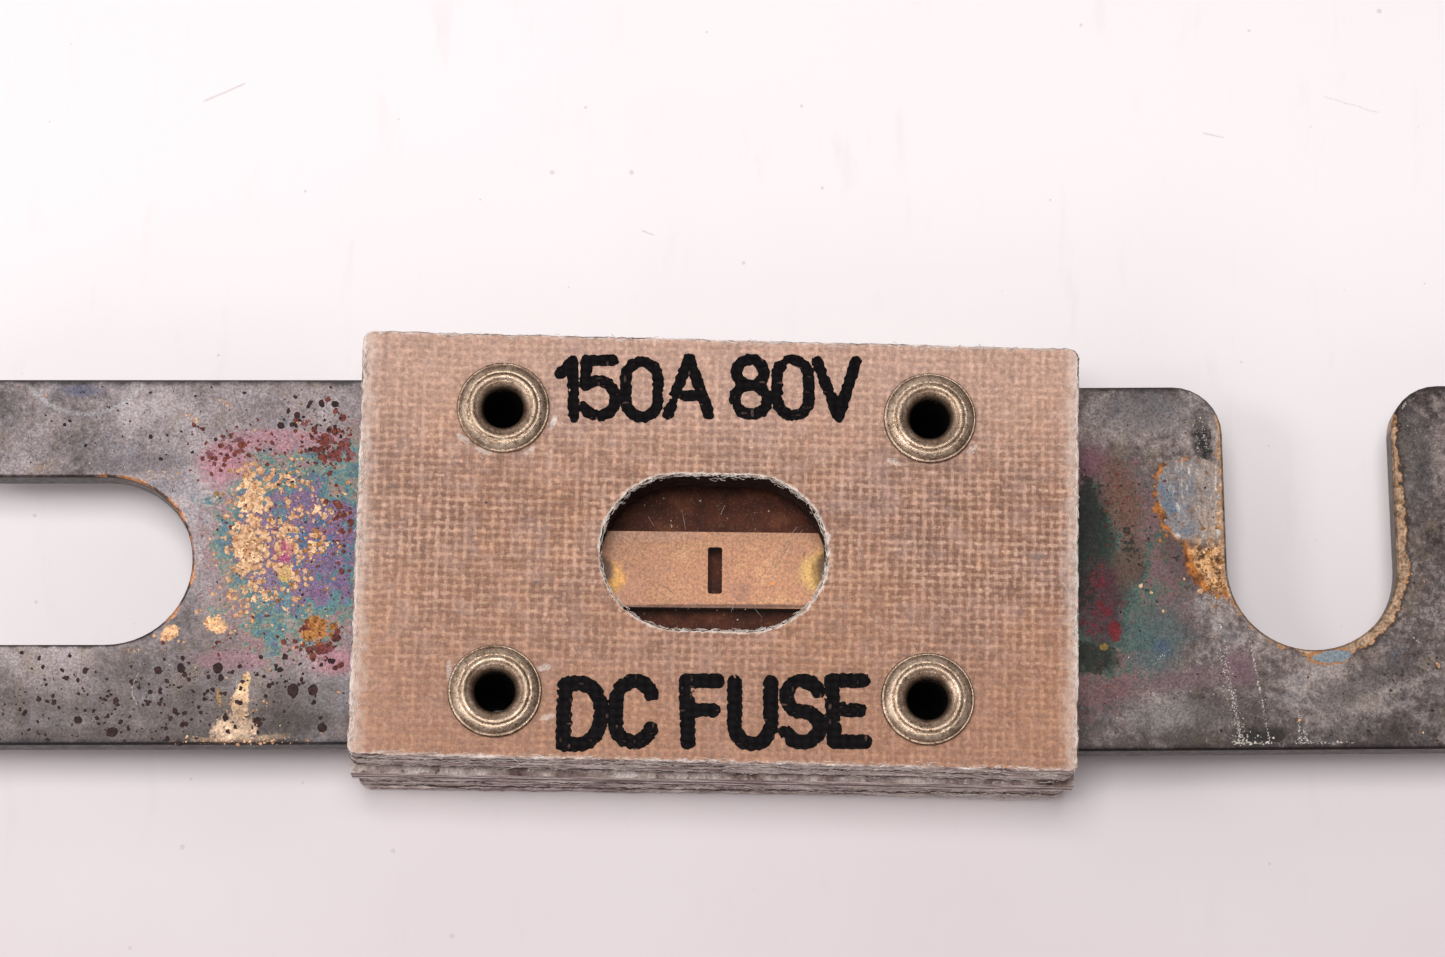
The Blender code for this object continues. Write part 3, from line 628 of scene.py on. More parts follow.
def makeRightBladeFinish(values):
    made, tree, shader, place = startMaterial("tarnishedSilverRight", 0.45, 0.42, 0.22)
    top = topOnly(tree, place)
    colour, fine = tarnishedBase(tree, place, values["grey"], 21.0)
    colour = paintHalo(tree, place, colour, values["halo"], values["haloColours"], top)
    colour = paintPatches(tree, place, colour, values["heatPatches"], top)
    reds = clusterMask(tree, place, values["redSpots"], 5.2, 19.0, 0.82)
    colour = mixed(tree, times(tree, reds, times(tree, top, 0.85)), colour, tint(88, 18, 30))
    # on the right blade these clusters are soot only
    sootAndShade = clusterMask(tree, place, values["sootAndShade"], 3.0, 25.0, 0.78)
    colour = mixed(tree, times(tree, sootAndShade, times(tree, top, 0.85)), colour, tint(28, 28, 24))
    colour = paintPatches(tree, place, colour, values["patches"], top)
    # darker in clouds towards the front edge
    footClouds = step(tree, grain(tree, place, 0.8, 45.0, 5.0, 0.7), 0.36, 0.60, 0.2, 1.0)
    foot = times(tree, step(tree, coordinate(tree, place, 1), -5.6, -9.0, 0.0, 0.7), footClouds)
    colour = mixed(tree, times(tree, foot, top), colour, tint(40, 34, 32))
    # A patch beside the slot is worn through: a rusty border, then grey-blue and bare copper
    border = larger(tree, *[patchMask(tree, place, patch) for patch in values["wornEdge"]])
    face = larger(tree, *[patchMask(tree, place, patch) for patch in values["wornFace"]])
    scale = step(tree, grain(tree, place, 1.8, 35.0, 4.0), 0.4, 0.62)
    rust = mixed(tree, scale, tint(84, 46, 22), tint(162, 100, 44))
    colour = mixed(tree, times(tree, border, top), colour, rust)
    left = step(tree, coordinate(tree, place, 0), 23.8, 25.6)
    clouds = step(tree, grain(tree, place, 1.6, 31.0, 4.0), 0.35, 0.65)
    warm = timesPlus(tree, left, 0.6, times(tree, clouds, 0.5), clamp=True)
    steel = mixed(tree, warm, tint(84, 98, 112), tint(146, 128, 116))
    low = step(tree, coordinate(tree, place, 1), 0.6, 1.6, 1.0, 0.0)
    pitted = step(tree, grain(tree, place, 2.8, 33.0, 4.0, 0.65), 0.43, 0.62)
    bare = mixed(tree, pitted, tint(70, 42, 20), tint(196, 150, 106))
    smears = grain(tree, stretched(tree, place, (2.2, 0.8, 1.0)), 1.0, 37.0, 5.0, 0.75)
    steel = mixed(tree, step(tree, smears, 0.52, 0.62, 0.0, 0.75), steel, tint(186, 176, 166))
    steel = mixed(tree, step(tree, smears, 0.38, 0.46, 0.8, 0.0), steel, tint(112, 84, 62))
    colour = mixed(tree, times(tree, face, top), colour, mixed(tree, low, steel, bare))
    # The slot's rim, worn to copper round its end and up its outer side
    edges = edgeMasks(tree, place, values["centre"], values["turn"], endless, values["halfWidth"])
    wander = times(tree, less(tree, grain(tree, place, 1.5, 28.0, 4.0, 0.65), 0.5), 1.3)
    rim = slotDistance(tree, place, values)
    outer = step(tree, coordinate(tree, place, 0), 29.5, 32.5)
    inner = step(tree, coordinate(tree, place, 0), 27.5, 26.6)
    wide = step(tree, coordinate(tree, place, 1), 8.0, 0.0, 0.10, 0.42)
    width = timesPlus(tree, outer, wide, timesPlus(tree, inner, 0.16, 0.14))
    torn = less(tree, plus(tree, rim, wander), width)
    shadow = step(tree, torn, 0.1, 0.28, 1.0, 0.0)
    colour = mixed(tree, times(tree, times(tree, shadow, outer), 0.7), colour, tint(36, 28, 26))
    rimMask = step(tree, torn, -0.03, 0.03, 1.0, 0.0)
    crumbs = step(tree, grain(tree, place, 3.4, 41.0, 4.0, 0.7), 0.35, 0.65)
    rimColour = mixed(tree, crumbs, tint(104, 82, 64), tint(178, 148, 122))
    outline = step(tree, absolute(tree, torn), 0.02, 0.10, 0.8, 0.0)
    rimColour = mixed(tree, outline, rimColour, tint(164, 112, 62))
    colour = mixed(tree, rimMask, colour, rimColour)
    chip = patchMask(tree, place, (31.6, -4.85, 1.2, 0.42, 5, 0.6, 2.2, 0.08))
    colour = mixed(tree, times(tree, chip, top), colour, tint(150, 104, 66))
    chipFace = patchMask(tree, place, (31.7, -4.85, 1.0, 0.33, 5, 0.6, 2.2, 0.12))
    colour = mixed(tree, times(tree, chipFace, top), colour, tint(112, 120, 126))
    dark = step(tree, timesPlus(tree, wander, 0.5, edges["Sides"]), 0.05, 0.4, 1.0, 0.0)
    colour = mixed(tree, times(tree, dark, 0.9), colour, tint(32, 26, 27))
    wall = wallMask(tree, edges["Sides"], rim)
    colour = mixed(tree, times(tree, wall, 0.85), gritty(tree, place, colour, 17.0), tint(46, 34, 28))
    feed(tree, shader["Base Color"], colour)
    feed(tree, shader["Metallic"], timesPlus(tree, wall, -0.4, 0.45))
    feed(tree, shader["Roughness"], step(tree, fine, 0.3, 0.7, 0.32, 0.52))
    feed(tree, shader["Normal"], bumped(tree, fine, 0.5, 0.03))
    return made


nodes["blade_left"].material_slots[0].material = makeLeftBladeFinish(leftBlade)
nodes["blade_right"].material_slots[0].material = makeRightBladeFinish(rightBlade)
print("blades finished")


# Laminated body: woven cloth faces and cut edges that show the plies

topCover = {
    "centre": (0.26, 0.0), "turn": -1.50, "length": 36.55, "width": 21.96, "corner": 0.55,
    "low": coverBottom, "high": coverTop, "edgeRound": 0.09, "ply": 0.62, "ragged": 0.05, "seed": 3,
    "spacing": 0.13, "holeRadius": 1.40,
    "window": {"centre": (-0.18, -0.18), "length": 11.42, "width": 7.98, "ragged": 0.055, "spacing": 0.08},
}
bottomCover = {
    "centre": (0.26, -0.08), "turn": -0.85, "length": 36.55, "width": 21.96, "corner": 0.75,
    "low": baseBottom, "high": baseTop, "edgeRound": 0.09, "ply": 0.62, "ragged": 0.06, "seed": 8,
    "spacing": 0.13, "holeRadius": 1.40,
    "window": None,
}
weave = {
    "pitch": (0.462, 0.405), "wobble": 0.22, "gap": (118, 72, 48), "thread": (192, 152, 130),
    "bright": (232, 214, 204),
    "tufts": (  # beside the eyelets; values as in the blades' patches
        ((-12.6, 5.75, 0.35, 0.14, -35, 0.9, 4.5, 0.3), (216, 200, 190), 0.7),
        ((-11.6, 5.1, 0.4, 0.12, -20, 0.9, 4.5, 0.3), (216, 200, 190), 0.6),
        ((-9.2, 5.1, 0.35, 0.12, 35, 0.9, 4.5, 0.3), (216, 200, 190), 0.6),
        ((-8.0, 6.6, 0.14, 0.35, -15, 0.9, 4.5, 0.3), (222, 208, 198), 0.8),
        ((-8.5, -6.1, 0.4, 0.16, 10, 0.9, 4.5, 0.3), (214, 194, 182), 0.6),
        ((-8.3, -8.6, 0.35, 0.14, 15, 0.9, 4.5, 0.3), (216, 196, 184), 0.6),
        ((-13.2, -6.2, 0.12, 0.5, 0, 0.9, 4.5, 0.3), (210, 194, 184), 0.5),
        ((9.2, 4.5, 0.35, 0.12, -25, 0.9, 4.5, 0.3), (214, 198, 188), 0.6),
        ((13.2, 5.2, 0.3, 0.12, 40, 0.9, 4.5, 0.3), (214, 198, 188), 0.5),
    ),
    "scuffs": (
        ((-16.1, 3.2, 0.3, 0.12, 0, 0.6, 3.0, 0.3), (120, 92, 78), 0.7),
        ((-11.4, 2.4, 0.10, 0.07, 0, 0.6, 3.0, 0.3), (60, 46, 40), 0.9),
        ((-8.9, -1.75, 0.12, 0.09, 0, 0.6, 3.0, 0.3), (110, 84, 76), 0.8),
        ((16.4, -0.4, 0.4, 0.2, 0, 0.6, 3.0, 0.3), (108, 92, 84), 0.5),
    ),
}


def clothOf(tree, local, values):
    return useGroup(tree, weaveCloth, {
        "Vector": local, "Pitch X": values["pitch"][0], "Pitch Y": values["pitch"][1],
        "Wobble": values["wobble"],
    })


def makeLaminateFace(values, cover):
    made, tree, shader, place = startMaterial("wovenLaminate", 0.0, 0.55)
    centre = (*cover["centre"], 0.0)
    local = fromFrame(tree, place, centre, flatTurn(cover["turn"]))
    cloth = clothOf(tree, local, values)
    hue = grain(tree, place, 0.16, 3.0, 3.0)
    gap = mixed(tree, step(tree, hue, 0.35, 0.65), tint(*values["gap"]), tint(142, 90, 58))
    thread = mixed(tree, step(tree, hue, 0.35, 0.65), tint(*values["thread"]), tint(194, 150, 120))
    blotch = grain(tree, place, 1.3, 6.0, 5.0, 0.7)
    total = timesPlus(tree, cloth["Fibre"], 1.5, times(tree, cloth["Thread"], 0.50))
    total = timesPlus(tree, blotch, 0.45, total)
    colour = mixed(tree, step(tree, total, 0.98, 1.42), gap, thread)
    lit = times(tree, step(tree, cloth["Lift"], 0.45, 0.95), step(tree, cloth["Fibre"], 0.50, 0.62))
    colour = mixed(tree, times(tree, lit, 0.55), colour, tint(*values["bright"]))
    shade = step(tree, blotch, 0.3, 0.7, 0.84, 1.12)
    colour = shaded(tree, colour, shade)
    lilac = step(tree, grain(tree, place, 0.8, 16.0, 4.0, 0.6), 0.48, 0.66, 0.0, 0.35)
    colour = mixed(tree, lilac, colour, tint(176, 142, 132))
    lower = step(tree, coordinate(tree, local, 1), 0.0, -10.0, 0.0, 0.55)
    colour = mixed(tree, lower, colour, tint(164, 112, 80))
    above = step(tree, coordinate(tree, local, 1), 2.0, 10.0, 0.0, 0.42)
    leftEnd = step(tree, coordinate(tree, local, 0), -14.0, -18.0, 0.0, 0.10)
    colour = mixed(tree, larger(tree, above, leftEnd), colour, tint(216, 178, 160))
    if cover["window"]:
        colour = paintPatches(tree, place, colour, values["tufts"] + values["scuffs"], 1.0)
    speckle = step(tree, grain(tree, place, 4.5, 44.0, 5.0, 0.8), 0.35, 0.65, 0.70, 1.23)
    colour = shaded(tree, colour, speckle)
    # Frayed cloth along the cut edges and round the window
    edges = edgeMasks(tree, place, centre, cover["turn"], cover["length"] / 2, cover["width"] / 2)
    tear = times(tree, less(tree, grain(tree, local, 1.8, 15.0, 4.0, 0.7), 0.5), 0.75)
    ends = step(tree, plus(tree, edges["Ends"], tear), 0.12, 0.42, 1.0, 0.0)
    sides = step(tree, plus(tree, edges["Sides"], tear), 0.02, 0.22, 1.0, 0.0)
    strands = step(tree, timesPlus(tree, tear, 2.4, edges["Ends"]), 0.1, 1.1, 0.6, 0.0)
    frayed = larger(tree, larger(tree, ends, strands), sides)
    if cover["window"]:
        window = cover["window"]
        reach = window["length"] / 2 - window["width"] / 2
        rim = useGroup(tree, slotRim, {
            "Vector": local, "Centre": (window["centre"][0] + reach, window["centre"][1], 0.0),
            "Turn": flatTurn(90.0), "Radius": window["width"] / 2, "Reach": 2 * reach,
        })["Distance"]
        right = step(tree, coordinate(tree, local, 0), 0.0, 5.0, 0.0, 0.05)
        torn = less(tree, plus(tree, rim, tear), right)
        frayed = larger(tree, frayed, step(tree, torn, 0.02, 0.18, 1.0, 0.0))
    pale = mixed(tree, grain(tree, local, 6.0, 22.0, 3.0, 0.7), tint(198, 168, 152), tint(255, 240, 229))
    colour = mixed(tree, times(tree, frayed, 0.85), colour, pale)
    feed(tree, shader["Base Color"], colour)
    feed(tree, shader["Roughness"], step(tree, cloth["Thread"], 0.0, 1.0, 0.48, 0.66))
    relief = timesPlus(tree, cloth["Fibre"], 0.5, cloth["Lift"])
    feed(tree, shader["Normal"], bumped(tree, relief, 0.55, 0.035))
    return made


def makeLaminateEdge(name, seed, seams):  # plies seen on edge, with pale fibre ends and dark seams
    made, tree, shader, place = startMaterial(name, 0.0, 0.8)
    layered = stretched(tree, place, (0.5, 0.5, 3.0))
    plies = grain(tree, layered, 1.0, seed, 4.0, 0.65)
    colour = ramp(tree, plies, (
        (0.36, (72, 50, 46)), (0.44, (138, 116, 110)), (0.52, (188, 170, 163)), (0.62, (240, 228, 220)),
    ))
    streaks = grain(tree, stretched(tree, place, (2.0, 2.0, 9.0)), 1.0, seed + 3.0, 5.0, 0.8)
    colour = mixed(tree, step(tree, streaks, 0.55, 0.63, 0.0, 0.9), colour, tint(244, 236, 230))
    colour = mixed(tree, step(tree, streaks, 0.36, 0.45, 0.85, 0.0), colour, tint(78, 58, 56))
    crumbs = grain(tree, place, 9.0, seed + 6.0, 3.0, 0.7)
    colour = mixed(tree, step(tree, crumbs, 0.34, 0.46, 0.7, 0.0), colour, tint(92, 72, 82))
    lengthwise = stretched(tree, place, (0.8, 0.8, 0.1))
    for seam, swing in zip(seams, (0.6, 0.4, 0.5, 0.5)):
        wave = less(tree, grain(tree, lengthwise, 1.0, seam, 5.0, 0.7), 0.5 + seam / swing)
        apart = absolute(tree, timesPlus(tree, wave, swing, coordinate(tree, place, 2)))
        broken = step(tree, grain(tree, lengthwise, 2.0, seam + 5.0, 3.0), 0.38, 0.5, 0.55, 1.0)
        line = times(tree, step(tree, apart, 0.07, 0.19, 1.0, 0.0), broken)
        colour = mixed(tree, line, colour, tint(50, 34, 32))
    feed(tree, shader["Base Color"], colour)
    feed(tree, shader["Normal"], bumped(tree, plus(tree, plies, streaks), 0.8, 0.06))
    return made


def roundedOutline(length, width, corner, spacing):  # evenly spaced points, anticlockwise
    points = []
    for side, (x, y) in enumerate(((1, -1), (1, 1), (-1, 1), (-1, -1))):
        centre = Vector((x * (length / 2 - corner), y * (width / 2 - corner)))
        for index in range(9):
            angle = math.radians(-90 + 90 * side + 90 * index / 8)
            points.append(centre + Vector((math.cos(angle), math.sin(angle))) * corner)
    return respaced(points, spacing)


def obroundOutline(centre, length, width, spacing):
    points = []
    reach = (length - width) / 2
    for side in (1, -1):
        for index in range(41):
            angle = math.radians(-90 + 180 * index / 40 + (0 if side > 0 else 180))
            points.append(Vector((centre[0] + side * reach, centre[1]))
                          + Vector((math.cos(angle), math.sin(angle))) * width / 2)
    return respaced(points, spacing)


def respaced(points, spacing):  # the same closed outline at even spacing
    ring = [Vector(point) for point in points] + [Vector(points[0])]
    lengths = [0.0]
    for before, after in zip(ring, ring[1:]):
        lengths.append(lengths[-1] + (after - before).length)
    count = int(lengths[-1] / spacing)
    result = []
    part = 0
    for index in range(count):
        target = lengths[-1] * index / count
        while lengths[part + 1] < target:
            part += 1
        share = (target - lengths[part]) / max(lengths[part + 1] - lengths[part], 1e-9)
        result.append(ring[part].lerp(ring[part + 1], share))
    return result


def outward(points):  # unit normals of a closed anticlockwise outline
    count = len(points)
    normals = []
    for index in range(count):
        tangent = points[(index + 2) % count] - points[index - 2]
        normals.append(Vector((tangent.y, -tangent.x)).normalized())
    return normals


def roughness(point, height, amount, seed):  # smooth random offset of a cut edge
    coarse = noise.fractal(Vector((point.x * 0.7, point.y * 0.7, height * 1.5 + seed)), 0.6, 2.2, 3)
    fine = noise.fractal(Vector((point.x * 3.1, point.y * 3.1, height * 4.0 + seed + 40)), 0.7, 2.0, 3)
    return amount * (0.7 * coarse + 0.8 * fine)


def wallLevels(low, high, edgeRound, ply, seed):  # heights and insets down a cut wall
    dice = random.Random(seed)
    levels = [(high, edgeRound), (high - edgeRound * 0.3, edgeRound * 0.35), (high - edgeRound, 0.01)]
    height = high - ply
    while height > low + ply * 0.6:
        inset = dice.uniform(0.0, 0.07)
        levels.append((height + ply * 0.32, inset))
        levels.append((height + 0.05, inset))
        levels.append((height, inset + dice.uniform(0.08, 0.15)))
        levels.append((height - 0.05, inset + 0.02))
        height -= ply * dice.uniform(0.85, 1.2)
    levels.append((low + edgeRound, 0.01))
    levels.append((low, edgeRound))
    return levels


def addWall(shape, outline, levels, amount, seed, inwards, finish=1):  # rings of a cut wall, top to bottom
    normals = outward(outline)
    rings = []
    for height, inset in levels:
        ring = []
        for point, normal in zip(outline, normals):
            shift = roughness(point, height, amount, seed) - abs(amount) * 0.9 - inset
            moved = point + normal * (-shift if inwards else shift)
            ring.append(shape.verts.new((moved.x, moved.y, height)))
        rings.append(ring)
    for upper, lower in zip(rings, rings[1:]):
        for index in range(len(outline)):
            after = (index + 1) % len(outline)
            face = shape.faces.new((upper[index], upper[after], lower[after], lower[index]))
            face.material_index = finish
    return rings[0], rings[-1]


def placeOf(cover):
    shift = Matrix.Translation((*cover["centre"], 0.0))
    return shift @ Matrix.Rotation(math.radians(cover["turn"]), 4, "Z")


def meshFrom(shape, name, place):  # faces turned outward, everything put in its place
    bmesh.ops.recalc_face_normals(shape, faces=shape.faces)
    bmesh.ops.transform(shape, matrix=Matrix.Scale(mm, 4) @ place, verts=shape.verts)
    mesh = bpy.data.meshes.new(name)
    shape.to_mesh(mesh)
    shape.free()
    return mesh


def buildCover(name, cover):
    shape = bmesh.new()
    levels = wallLevels(cover["low"], cover["high"], cover["edgeRound"], cover["ply"], cover["seed"])
    place = placeOf(cover)
    outline = roundedOutline(cover["length"], cover["width"], cover["corner"], cover["spacing"])
    loops = [addWall(shape, outline, levels, cover["ragged"], cover["seed"], False)]
    if cover["window"]:
        window = cover["window"]
        outline = obroundOutline(window["centre"], window["length"], window["width"], window["spacing"])
        few = [(cover["high"], 0.05), (cover["high"] - 0.05, 0.01)]
        few += [(cover["high"] - 0.3 * index, 0.02 * (index % 2)) for index in range(1, 10)]
        few.append((cover["low"], 0.0))
        loops.append(addWall(shape, outline, few, window["ragged"], cover["seed"] + 9, True, 2))
    for eyeletName in eyeletNodes:
        low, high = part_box(eyeletName)
        middle = (low + high) / 2 / mm
        centre = place.inverted() @ Vector((middle.x, middle.y, 0.0))
        reach = cover["holeRadius"]
        hole = [Vector((centre.x + reach * math.cos(a), centre.y + reach * math.sin(a)))
                for a in np.linspace(0, 2 * math.pi, 33)[:-1]]
        few = [(cover["high"], 0.0), (cover["low"], 0.0)]
        loops.append(addWall(shape, hole, few, 0.0, 1, True))
    for level in (0, 1):
        rim = []
        for loop in loops:
            ring = loop[level]
            for index, vertex in enumerate(ring):
                rim.append(shape.edges.get((vertex, ring[(index + 1) % len(ring)])))
        made = bmesh.ops.triangle_fill(shape, use_beauty=True, use_dissolve=False, edges=rim)
        for item in made["geom"]:
            if isinstance(item, bmesh.types.BMFace):
                item.material_index = 0
    return meshFrom(shape, name, place)


def addPiece(name, mesh, replaced=()):
    piece = bpy.data.objects.new(name, mesh)
    scene.collection.objects.link(piece)
    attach(piece, "root")
    if replaced:
        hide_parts(*replaced)
    return piece


def makeWindowWall():  # painted shade with some stain: the wall is painted dark inside, pale only where the cloth is cut at the rim
    made, tree, shader, place = startMaterial("windowWall", 0.0, 0.75, 0.12)
    sootAndShade = grain(tree, stretched(tree, place, (1.2, 1.2, 4.0)), 1.0, 5.0, 4.0, 0.6)
    # painted shade with some stain: both tones of the wall are dark
    colour = mixed(tree, step(tree, sootAndShade, 0.35, 0.65), tint(34, 24, 22), tint(66, 46, 40))
    height = timesPlus(tree, less(tree, sootAndShade, 0.5), 0.5, coordinate(tree, place, 2))
    pale = step(tree, height, coverTop - 0.12, coverTop - 0.04)
    colour = mixed(tree, pale, colour, tint(255, 238, 226))
    feed(tree, shader["Base Color"], colour)
    feed(tree, shader["Normal"], bumped(tree, sootAndShade, 0.6, 0.04))
    return made


topFace = makeLaminateFace(weave, topCover)
bottomFace = makeLaminateFace(weave, bottomCover)
coverEdge = makeLaminateEdge("laminateEdge", 2.0, (7.7, 6.15, 2.9, 1.3))
for name, cover, face, replaced in (
        ("topCoverCloth", topCover, topFace, "top_cover"),
        ("bottomCoverCloth", bottomCover, bottomFace, "bottom_cover")):
    mesh = buildCover(name, cover)
    mesh.materials.append(face)
    mesh.materials.append(coverEdge)
    if cover["window"]:
        mesh.materials.append(makeWindowWall())
    addPiece(name, mesh, [replaced])
spacerEdge = makeLaminateEdge("spacerEdge", 11.0, (4.4,))
nodes["spacer_back"].material_slots[0].material = spacerEdge
nodes["spacer_front"].material_slots[0].material = spacerEdge
print("body built")


def startTree(name, inputs):
    tree = bpy.data.node_groups.new(name, "GeometryNodeTree")
    tree.interface.new_socket(name="Geometry", in_out="INPUT", socket_type="NodeSocketGeometry")
    for label, (kind, default) in inputs.items():
        socket = tree.interface.new_socket(name=label, in_out="INPUT", socket_type=f"NodeSocket{kind}")
        if default is not None:
            socket.default_value = default
    tree.interface.new_socket(name="Geometry", in_out="OUTPUT", socket_type="NodeSocketGeometry")
    return tree, addNode(tree, "NodeGroupInput").outputs, addNode(tree, "NodeGroupOutput").inputs


def geo(tree, kind, values, output=0, **settings):
    made = addNode(tree, kind, **settings)
    for label, value in values.items():
        feed(tree, made.inputs[label], value)
    return made.outputs[output]


def anyTurn(tree, seed):  # a random turn about the upright
    return geo(tree, "FunctionNodeRandomValue", {
        "Max": (0.0, 0.0, 6.28), "Seed": seed,
    }, data_type="FLOAT_VECTOR")


def anyNumber(tree, low, high, seed):  # the node's limits for a number are its inputs 2 and 3
    return geo(tree, "FunctionNodeRandomValue", {2: low, 3: high, "Seed": seed}, 1, data_type="FLOAT")


def endTree(tree, geometry, given, result):
    real = geo(tree, "GeometryNodeRealizeInstances", {"Geometry": geometry})
    painted = geo(tree, "GeometryNodeSetMaterial", {"Geometry": real, "Material": given["Material"]})
    feed(tree, result["Geometry"], painted)


def grow(name, source, tree, values):  # runs a tree on a mesh and keeps the result as a plain mesh
    carrier = bpy.data.objects.new(name + "Source", source)
    modifier = carrier.modifiers.new(name, "NODES")
    modifier.node_group = tree
    for item in tree.interface.items_tree:
        if item.in_out == "INPUT" and item.name in values:
            modifier[item.identifier] = values[item.name]
    scene.collection.objects.link(carrier)
    bpy.context.view_layer.update()
    grown = carrier.evaluated_get(bpy.context.evaluated_depsgraph_get())
    mesh = bpy.data.meshes.new_from_object(grown)
    mesh.name = name
    carrier.modifiers.remove(modifier)
    bpy.data.objects.remove(carrier, do_unlink=True)
    return mesh


def pointMesh(name, points, sizes=None, leans=None):  # loose points that carry a size and a direction
    mesh = bpy.data.meshes.new(name)
    mesh.from_pydata([tuple(value * mm for value in point) for point in points], [], [])
    if sizes is not None:
        mesh.attributes.new("size", "FLOAT", "POINT").data.foreach_set("value", sizes)
    if leans is not None:
        flat = [value for lean in leans for value in lean]
        mesh.attributes.new("lean", "FLOAT_VECTOR", "POINT").data.foreach_set("vector", flat)
    return mesh


# Ink stamped on the cloth: plain ratings in round-ended strokes

ink = {
    "thickness": 0.008, "lift": 0.002, "grid": 0.05, "seed": 4, "ragged": 0.05, "misprint": 0.06,
    "lines": (
        # words, glyph height, stroke width, left end and foot, length
        ("150A 80V", 2.90, 0.60, (-7.62, 6.92), 15.04),
        ("DC FUSE", 3.10, 0.77, (-7.47, -9.93), 15.10),
    ),
}


def curvePoints(x, y, halfWidth, halfHeight, start, end, steps=14):
    angles = [math.radians(start + (end - start) * index / steps) for index in range(steps + 1)]
    return [(x + halfWidth * math.cos(a), y + halfHeight * math.sin(a)) for a in angles]


strokes = {  # width over height, then the strokes in a unit square
    "0": (0.56, [curvePoints(0.5, 0.70, 0.5, 0.30, 180, 0) + curvePoints(0.5, 0.30, 0.5, 0.30, 0, -180)
                 + [(0, 0.7)]]),
    "1": (0.22, [[(0, 0.78), (1, 1), (1, 0)]]),
    "5": (0.58, [[(0.93, 1), (0.12, 1), (0.06, 0.56)] + curvePoints(0.46, 0.32, 0.52, 0.32, 135, -150)]),
    "8": (0.58, [curvePoints(0.5, 0.76, 0.42, 0.24, 0, 360), curvePoints(0.5, 0.27, 0.5, 0.27, 0, 360)]),
    "A": (0.72, [[(0, 0), (0.5, 1), (1, 0)], [(0.2, 0.34), (0.8, 0.34)]]),
    "V": (0.68, [[(0, 1), (0.5, 0), (1, 1)]]),
    "D": (0.60, [[(0, 0), (0, 1), (0.4, 1)] + curvePoints(0.4, 0.5, 0.6, 0.5, 90, -90) + [(0, 0)]]),
    "C": (0.58, [curvePoints(0.5, 0.68, 0.5, 0.32, 20, 180) + curvePoints(0.5, 0.32, 0.5, 0.32, 180, 340)]),
    "F": (0.52, [[(0, 0), (0, 1), (0.95, 1)], [(0, 0.52), (0.8, 0.52)]]),
    "U": (0.58, [[(0, 1), (0, 0.3)] + curvePoints(0.5, 0.30, 0.5, 0.30, 180, 360) + [(1, 1)]]),
    "S": (0.56, [curvePoints(0.5, 0.75, 0.47, 0.25, 20, 270) + curvePoints(0.5, 0.25, 0.5, 0.25, 90, -160)]),
    "E": (0.52, [[(0.95, 1), (0, 1), (0, 0), (0.95, 0)], [(0, 0.52), (0.82, 0.52)]]),
}


def layWords(words, height, start, length, dice):  # the strokes' segments, spread over the length
    widths = [strokes[letter][0] * height if letter != " " else height * 0.12 for letter in words]
    space = (length - sum(widths)) / (len(words) - 1)
    segments = []
    x = start[0]
    for letter, width in zip(words, widths):
        if letter != " ":
            lift = dice.uniform(-0.09, 0.09)
            lean = dice.uniform(-0.03, 0.03)
            for stroke in strokes[letter][1]:
                line = [(x + u * width + lean * v * height, start[1] + lift + v * height) for u, v in stroke]
                segments += list(zip(line, line[1:]))
        x += width + space
    return segments


def inkField(segments, values, halfStroke, low, high):  # above zero where the ink took
    xs = np.arange(low[0], high[0], values["grid"])
    ys = np.arange(low[1], high[1], values["grid"])
    gridX, gridY = np.meshgrid(xs, ys, indexing="ij")
    distance = np.full(gridX.shape, 99.0)
    for (x0, y0), (x1, y1) in segments:
        alongX, alongY = x1 - x0, y1 - y0
        share = ((gridX - x0) * alongX + (gridY - y0) * alongY) / max(alongX ** 2 + alongY ** 2, 1e-9)
        share = np.clip(share, 0, 1)
        distance = np.minimum(distance, np.hypot(gridX - x0 - share * alongX, gridY - y0 - share * alongY))
    field = halfStroke - distance
    pitchX, pitchY = weave["pitch"]
    for i, j in np.argwhere(np.abs(field) < 0.5):
        spot = Vector((xs[i], ys[j], values["seed"]))
        edge = noise.fractal(spot * 4.0, 0.6, 2.0, 3) * values["ragged"]
        cloth = 0.014 * (math.cos(2 * math.pi * xs[i] / pitchX) + math.cos(2 * math.pi * ys[j] / pitchY))
        thin = min(0.0, noise.fractal(spot * 1.6 + Vector((9, 9, 9)), 0.8, 2.0, 4) + 0.42)
        field[i, j] += edge + cloth + thin * values["misprint"] * 4.0
    return xs, ys, field


def contourMesh(shape, xs, ys, field):  # the part of the grid above zero, cut along the zero line
    corners = {}
    crossings = {}

    def corner(i, j):
        if (i, j) not in corners:
            corners[i, j] = shape.verts.new((xs[i], ys[j], 0.0))
        return corners[i, j]

    def crossing(a, b):
        key = (min(a, b), max(a, b))
        if key not in crossings:
            (i0, j0), (i1, j1) = key
            share = min(max(field[i0, j0] / (field[i0, j0] - field[i1, j1]), 0.05), 0.95)
            spot = (xs[i0] + (xs[i1] - xs[i0]) * share, ys[j0] + (ys[j1] - ys[j0]) * share, 0.0)
            crossings[key] = shape.verts.new(spot)
        return crossings[key]

    for i in range(len(xs) - 1):
        for j in range(len(ys) - 1):
            cell = ((i, j), (i + 1, j), (i + 1, j + 1), (i, j + 1))
            if max(field[place] for place in cell) <= 0:
                continue
            ring = []
            for here, there in zip(cell, cell[1:] + cell[:1]):
                if field[here] > 0:
                    ring.append(corner(*here))
                if (field[here] > 0) != (field[there] > 0):
                    ring.append(crossing(here, there))
            if len(ring) > 2:
                shape.faces.new(ring)


